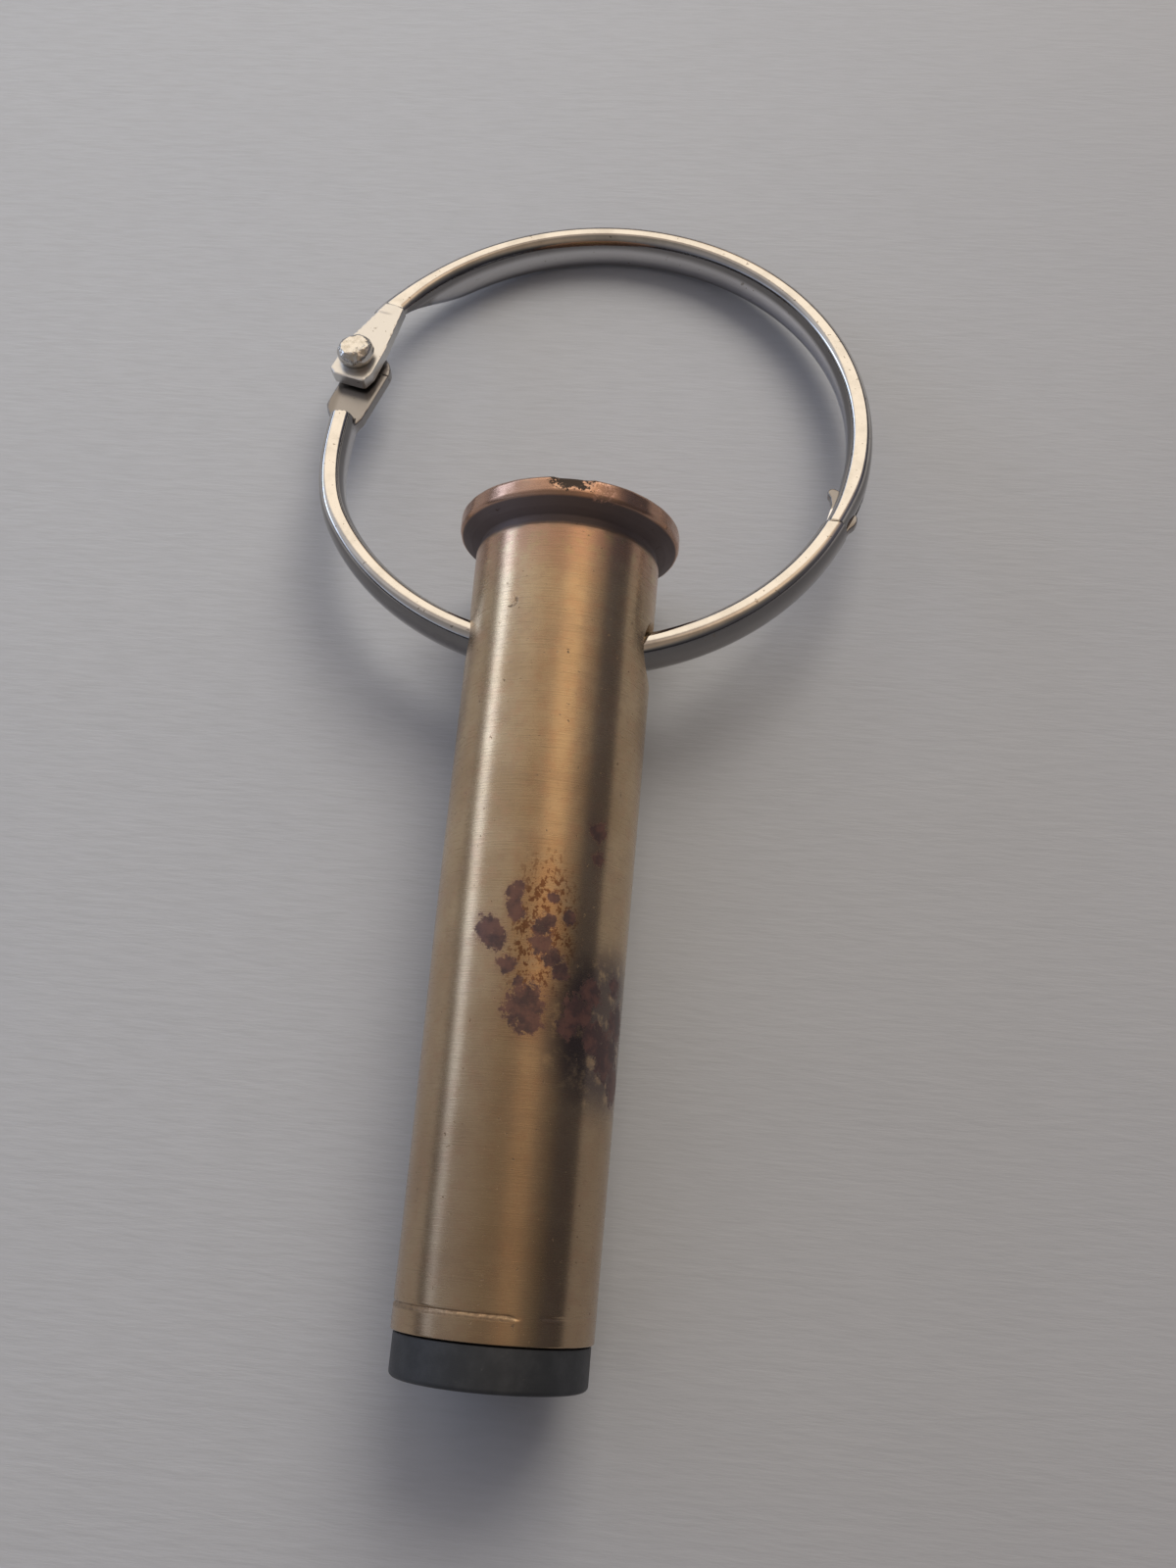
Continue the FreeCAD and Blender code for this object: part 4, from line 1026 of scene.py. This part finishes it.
def make_upper_arm(material):
    join = TAB_ROOT - 2.05      # where the centre line leaves the ring's circle
    start = CLOSURE_ANGLE + SEAM_GAP_ANGLE + BEVEL_ANGLE
    leave = PIVOT_ANGLE + 360 + math.degrees(math.asin(join / RING_RADIUS))
    wire = [polar(RING_RADIUS, angle) for angle in wire_stations(start, leave, fine_start=True)]
    height = math.sqrt(RING_RADIUS ** 2 - join ** 2)
    arc_out = height - PIVOT_RADIUS
    slope = -join / height
    reach = -1.3 - join
    steps = np.linspace(0, 1, 70)[1:]
    hermite = ((2 * steps ** 3 - 3 * steps ** 2 + 1) * arc_out
               + (steps ** 3 - 2 * steps ** 2 + steps) * slope * reach)
    run = [from_pivot(out, join + reach * t) for out, t in zip(hermite, steps)]
    tip = [from_pivot(0.0, along) for along in (-0.9, -0.4, 0.0, 0.5, 0.9, 1.04, 1.10, 1.16, 1.30,
                                                1.45, 1.58, 1.64, 1.75, 1.90, 1.98)]
    centres = np.vstack((wire, run, tip))
    headings = headings_of(centres)
    _, along, _ = to_pivot(centres)
    near = np.linalg.norm(centres - PIVOT, axis=1) < 14
    lift = smoothstep(along, TAB_ROOT - 3.4, TAB_ROOT) * near
    centres = centres + UP * (lift * (TAB_TOP + TAB_BOTTOM) / 2)[:, None]
    arm = cast_tube("ring_upper", centres, headings, upper_shape)
    slot = prism("slot", [(-2.6, -0.6), (1.9, -0.6), (1.9, SLOT_END), (-2.6, SLOT_END)],
                 -0.82, 0.02, 0)
    boolean(arm, place_at_closure(slot))
    boolean(arm, pin_bore())
    slant(arm)
    finish_piece(arm, RING, "ring_upper", material, ["ring_upper_arm"])


def make_lower_arm(material):
    straight, turned_to, turning_steps = 90, 60, 30    # sections of the run from the plate's end
    leave = WIRE_ROOT_ANGLE + 1.8
    angles = wire_stations(WIRE_ROOT_ANGLE + 2.0, CLOSURE_ANGLE - BEVEL_ANGLE, fine_end=True)
    wire = np.array([polar(lower_radius(angle), angle) for angle in angles])
    middle = (PLATE_OUTER - PLATE_INNER) / 2
    join = math.radians(leave - PIVOT_ANGLE)
    start = lower_radius(leave)
    arc_out = start * math.cos(join) - PIVOT_RADIUS
    arc_along = start * math.sin(join)
    steps = np.linspace(0, 1, straight)
    out = middle + (arc_out - middle) * smoothstep(steps, 0.62, 1.0)
    run = np.array([from_pivot(o, arc_along * t) for o, t in zip(out, steps)])
    centres = np.vstack((run, wire))[::-1]
    headings = headings_of(centres)
    headings[-turned_to:] = -ALONG
    share = np.linspace(0, 1, turning_steps + 1)[1:-1, None]
    entry = len(centres) - straight
    mixed = headings[entry] * (1 - share) + headings[-turned_to] * share
    mixed /= np.linalg.norm(mixed, axis=1)[:, None]
    headings[entry + 1:entry + turning_steps] = mixed
    _, along, _ = to_pivot(centres)
    near = np.linalg.norm(centres - PIVOT, axis=1) < 8
    sink = (1 - smoothstep(along, 4.3, 5.7)) * near * (PLATE_TOP + PLATE_BOTTOM) / 2
    centres = centres + UP * sink[:, None]
    arm = cast_tube("ring_lower", centres, headings, lower_shape, fan=40)
    tongue = prism("tongue", [
        (-0.75, -1.50), (0.75, -1.50), (0.85, 0.90), (1.02, 1.45), (1.04, 1.90), (0.88, 2.30),
        (0.50, 2.60), (0.05, 3.60), (-0.60, 3.85), (-1.72, 3.90), (-1.96, 3.75), (-2.02, 3.50),
        (-1.92, 3.28), (-1.60, 3.05), (-1.25, 2.50), (-0.95, 1.00)], -0.75, -0.05, 0.09)
    boolean(arm, place_at_closure(tongue), "UNION")
    boolean(arm, pin_bore())
    slant(arm)
    finish_piece(arm, RING, "ring_lower", material, ["ring_lower_arm"])


def make_rivet(material):
    """Peened pin: a lumpy flat-topped head above the tab and a low foot under the plate."""
    foot = PLATE_BOTTOM - 0.35
    head = TAB_TOP + 0.03
    top = head + 1.26
    corners = [(0.0, foot, 0.0), (0.92, foot, 0.20), (1.15, PLATE_BOTTOM - 0.02, 0.06),
               (0.75, PLATE_BOTTOM - 0.02, 0.0), (0.75, head, 0.0), (1.22, head, 0.06),
               (1.42, head + 0.50, 0.35), (1.34, head + 0.98, 0.30), (0.98, top, 0.4),
               (0.0, head + 1.34, 0.0)]

    def lumps(verts):
        for vert in verts:
            if vert[2] > head + 0.2:
                place = Vector(vert)
                swell = noise.noise(place * 1.3) * 0.16 + noise.noise(place * 3.1) * 0.07
                vert[:2] *= 1 + swell * 0.35
                vert[2] += swell * 0.5 + noise.noise(place * 6.0) * 0.02
                vert[2] = min(vert[2], top + 0.05 * (vert[0] * 0.6 - vert[1] * 0.4))
        return verts

    rivet = turned("rivet", corners, 96, closed=False, spacing=lambda r, s: 0.06, shape=lumps)
    rivet.data.transform(Matrix.Translation(Vector(PIVOT)))
    finish_piece(rivet, RING, "ring_lower", material, ["hinge_rivet"],
                 math.radians(60))


def ring_material():
    """Nickel plate: bright with hairline scratches, satin where it was pressed flat."""
    shader = Shader("ring_nickel")
    across, _, up = shader.split()
    radius = shader.vector("LENGTH", shader.vector("MULTIPLY", shader.place, (1.0, 1.0, 0.0)))
    tone = shader.noise(0.5, 5.0, 0.6)
    fine = shader.noise(5.0, 3.0, 0.6)
    dots = shader.noise(2.4, 2.0, 0.5, shift=(5.0, 2.0, 9.0)).rise(0.69, 0.73)
    far = shader.far(from_pivot(-0.3, -1.6, 1.6))
    pressed = far.rise(4.9, 4.0) * up.rise(0.50, 0.62)
    polished = 1.0 - pressed

    # painted shade on the wire's sides in place of their dark reflections, darkest just below the
    # top, and a painted soft highlight on the inner side, except on the latch
    side_shade_tone = shader.mix(up.rise(0.9, -1.0), (0.115, 0.112, 0.120), (0.30, 0.285, 0.285))
    side = abs(up).rise(1.42, 1.15) * polished
    ear = shader.far(polar(RING_RADIUS - 1.9, CLOSURE_ANGLE + 9.5))
    gleam = (up.band(-1.25, -0.60, 0.25, 0.80) * radius.rise(RING_RADIUS + 0.1, RING_RADIUS - 0.4)
             * polished * ear.rise(1.30, 1.45))
    # painted shade on the lower plate under the tab and on the latch below the seam; the same mask
    # also makes them duller
    plate = far.rise(8.0, 7.0) * up.rise(0.60, 0.50)
    latch_shade = shader.far(polar(RING_RADIUS, CLOSURE_ANGLE + 7)).rise(3.2, 2.8) * up.rise(0.02, -0.03)
    low = shader.most(plate, latch_shade * 0.45)

    colour = shader.mix(tone.rise(0.40, 0.75), (0.62, 0.595, 0.565), (0.52, 0.495, 0.465))
    # the nickel under painted side shade, a painted highlight, satin where pressed, painted shade
    # on the plate and latch, and dark dots
    colour = shader.layers(
        colour, (side * 0.82, side_shade_tone),
        (gleam * (across.rise(8, 17) * 0.54 + 0.42), (0.95, 0.95, 0.98)),
        (pressed, (0.68, 0.67, 0.655)), (low * 0.7, (0.20, 0.185, 0.175)),
        (dots * 0.6, (0.20, 0.17, 0.14)))
    return shader.set(Base_Color=colour, Metallic=1.0, Normal=shader.bump(fine * 0.4 + tone, 0.006),
                      Roughness=fine * 0.07 + 0.035 + pressed * 0.30 + low * 0.22)


def rivet_material():
    shader = Shader("rivet_nickel")
    lumps = shader.noise(1.8, 4.0, 0.6)
    colour = shader.mix(lumps.rise(0.40, 0.75), (0.62, 0.60, 0.57), (0.46, 0.43, 0.39))
    return shader.set(Base_Color=colour, Metallic=1.0, Normal=shader.bump(lumps, 0.05),
                      Roughness=shader.noise(8.0, 3.0) * 0.14 + 0.14)


# ------------------------------------------------------------------ floor, light and camera

def make_floor():
    half = 1.6
    floor = mesh_object("paper_floor", [(-half, -half, 0), (half, -half, 0), (half, half, 0),
                                        (-half, half, 0)], [[0, 1, 2, 3]])
    floor.location.z = -0.00002
    shader = Shader("paper", local=False)
    fibre = shader.noise(1.1, 5.0, 0.6, stretch=(0.30, 2.0, 1.0))
    cockle = shader.noise(0.03, 3.0, 0.5)
    across, away, _ = shader.split()
    # painted falloff of the light: the paper gets darker towards +X and the near side
    floor_falloff_shade = (across - away * 0.25).rise(-85, 85)
    colour = shader.layers(
        (0.480, 0.537, 0.650), (floor_falloff_shade, (0.340, 0.363, 0.425)), (cockle * 0.12, (0.60, 0.62, 0.64)),
        (fibre.rise(0.35, 0.70) * 0.14, (0.30, 0.33, 0.38)))
    floor.data.materials.append(shader.set(
        Base_Color=colour, Roughness=0.85, Specular_IOR_Level=0.25,
        Normal=shader.bump(fibre * 0.08 + cockle, 0.5)))


# Degrees from overhead towards +X, and the light from there on the ring's and the mouth's side
ROOM = (
    (-180, (0.35, 0.35, 0.36), (0.21, 0.21, 0.22)),
    (-92, (0.40, 0.39, 0.39), (0.19, 0.19, 0.20)),
    (-84, (0.34, 0.34, 0.36), (0.18, 0.18, 0.20)),
    (-79, (0.60, 0.62, 0.66), (0.24, 0.25, 0.28)),
    (-77, (2.45, 2.95, 3.90), (0.52, 0.58, 0.72)),
    (-68, (2.45, 2.95, 3.90), (0.52, 0.58, 0.72)),
    (-65, (0.74, 0.75, 0.80), (0.32, 0.32, 0.35)),
    (-40, (0.68, 0.67, 0.68), (0.30, 0.28, 0.28)),
    (-12, (0.55, 0.455, 0.385), (0.24, 0.213, 0.184)),
    (2, (0.57, 0.46, 0.38), (0.24, 0.205, 0.175)),
    (13, (1.00, 0.76, 0.55), (0.33, 0.255, 0.195)),
    (26, (1.06, 0.81, 0.57), (0.33, 0.255, 0.195)),
    (38, (0.54, 0.43, 0.36), (0.21, 0.180, 0.155)),
    (52, (0.33, 0.28, 0.26), (0.12, 0.11, 0.10)),
    (62, (0.12, 0.12, 0.15), (0.085, 0.08, 0.09)),
    (88, (0.12, 0.12, 0.15), (0.085, 0.08, 0.09)),
    (97, (0.24, 0.23, 0.23), (0.13, 0.12, 0.12)),
    (180, (0.35, 0.35, 0.36), (0.25, 0.25, 0.26)),
)


def make_world():
    """A dim room with a bright window beyond the ring: light changes with direction only."""
    world = bpy.data.worlds.new("soft_room")
    bpy.context.scene.world = world
    room = Nodes(world)
    room.place = Term(room, room.add("ShaderNodeTexCoord").outputs["Generated"])
    across, away, up = room.split()
    turn = room.math("ARCTAN2", across, up) / (2 * math.pi) + 0.5
    ramps = []
    for side in (2, 1):
        node = room.add("ShaderNodeValToRGB", {0: turn})
        elements = node.color_ramp.elements
        while len(elements) < len(ROOM):
            elements.new(0.5)
        for element, stop in zip(elements, ROOM):
            element.position = (stop[0] + 180) / 360
            element.color = (*stop[side], 1)
        ramps.append(node.outputs[0])
    colour = room.mix(away.rise(0.0, 0.42), *ramps)
    horizon = up.rise(0.30, 0.10) * room.most(away.rise(0.36, 0.50), away.rise(-0.05, -0.20))
    colour = room.mix(horizon, colour, (0.060, 0.058, 0.062))
    window = away.band(0.56, 0.66, 0.90, 0.97) * up.rise(0.22, 0.36) * abs(across).rise(0.62, 0.50)
    colour = room.mix(window, colour, (1.55, 1.36, 1.12))
    background = room.add("ShaderNodeBackground", {"Color": colour, "Strength": 1.0})
    room.add("ShaderNodeOutputWorld", {"Surface": background.outputs[0]})


def make_light():
    """Warm soft light over the ring's far right, which leaves no reflection of itself."""
    data = bpy.data.lights.new("key", "AREA")
    data.shape = "RECTANGLE"
    data.size, data.size_y = 0.25, 0.20
    data.energy = 0.95
    data.color = (1.0, 0.88, 0.70)
    lamp = link("key", data)
    lamp.location = (0.10, 0.26, 0.30)
    lamp.rotation_mode = "QUATERNION"
    lamp.rotation_quaternion = (-lamp.location).to_track_quat("-Z", "Y")
    lamp.visible_glossy = False


CAMERA_PLACE = Vector((0.01042, -0.03613, 0.09531))
CAMERA_VIEW = Vector((-0.0854, 0.3226, -0.9427))
CAMERA_UP = Vector((-0.0614, 0.9426, 0.3282))


def make_camera():
    data = bpy.data.cameras.new("camera")
    data.sensor_width = 36.0
    data.lens = 32.128
    data.clip_start = 0.002
    data.clip_end = 20.0
    camera = link("camera", data)
    view = CAMERA_VIEW.normalized()
    right = view.cross(CAMERA_UP).normalized()
    turn = Matrix((right, right.cross(view), -view)).transposed().to_4x4()
    camera.matrix_world = Matrix.Translation(CAMERA_PLACE) @ turn
    bpy.context.scene.camera = camera


def main():
    bpy.context.scene.view_settings.view_transform = "Standard"
    bpy.context.scene.view_settings.look = "None"
    make_camera()
    make_world()
    make_floor()
    make_light()
    make_case(brass_material())
    make_primer(primer_material())
    make_sleeve()
    make_cells()
    make_bezel()
    make_window()
    make_reflector()
    make_lamp()
    dress_inner_parts()
    nickel = ring_material()
    make_upper_arm(nickel)
    make_lower_arm(nickel)
    make_rivet(rivet_material())


main()
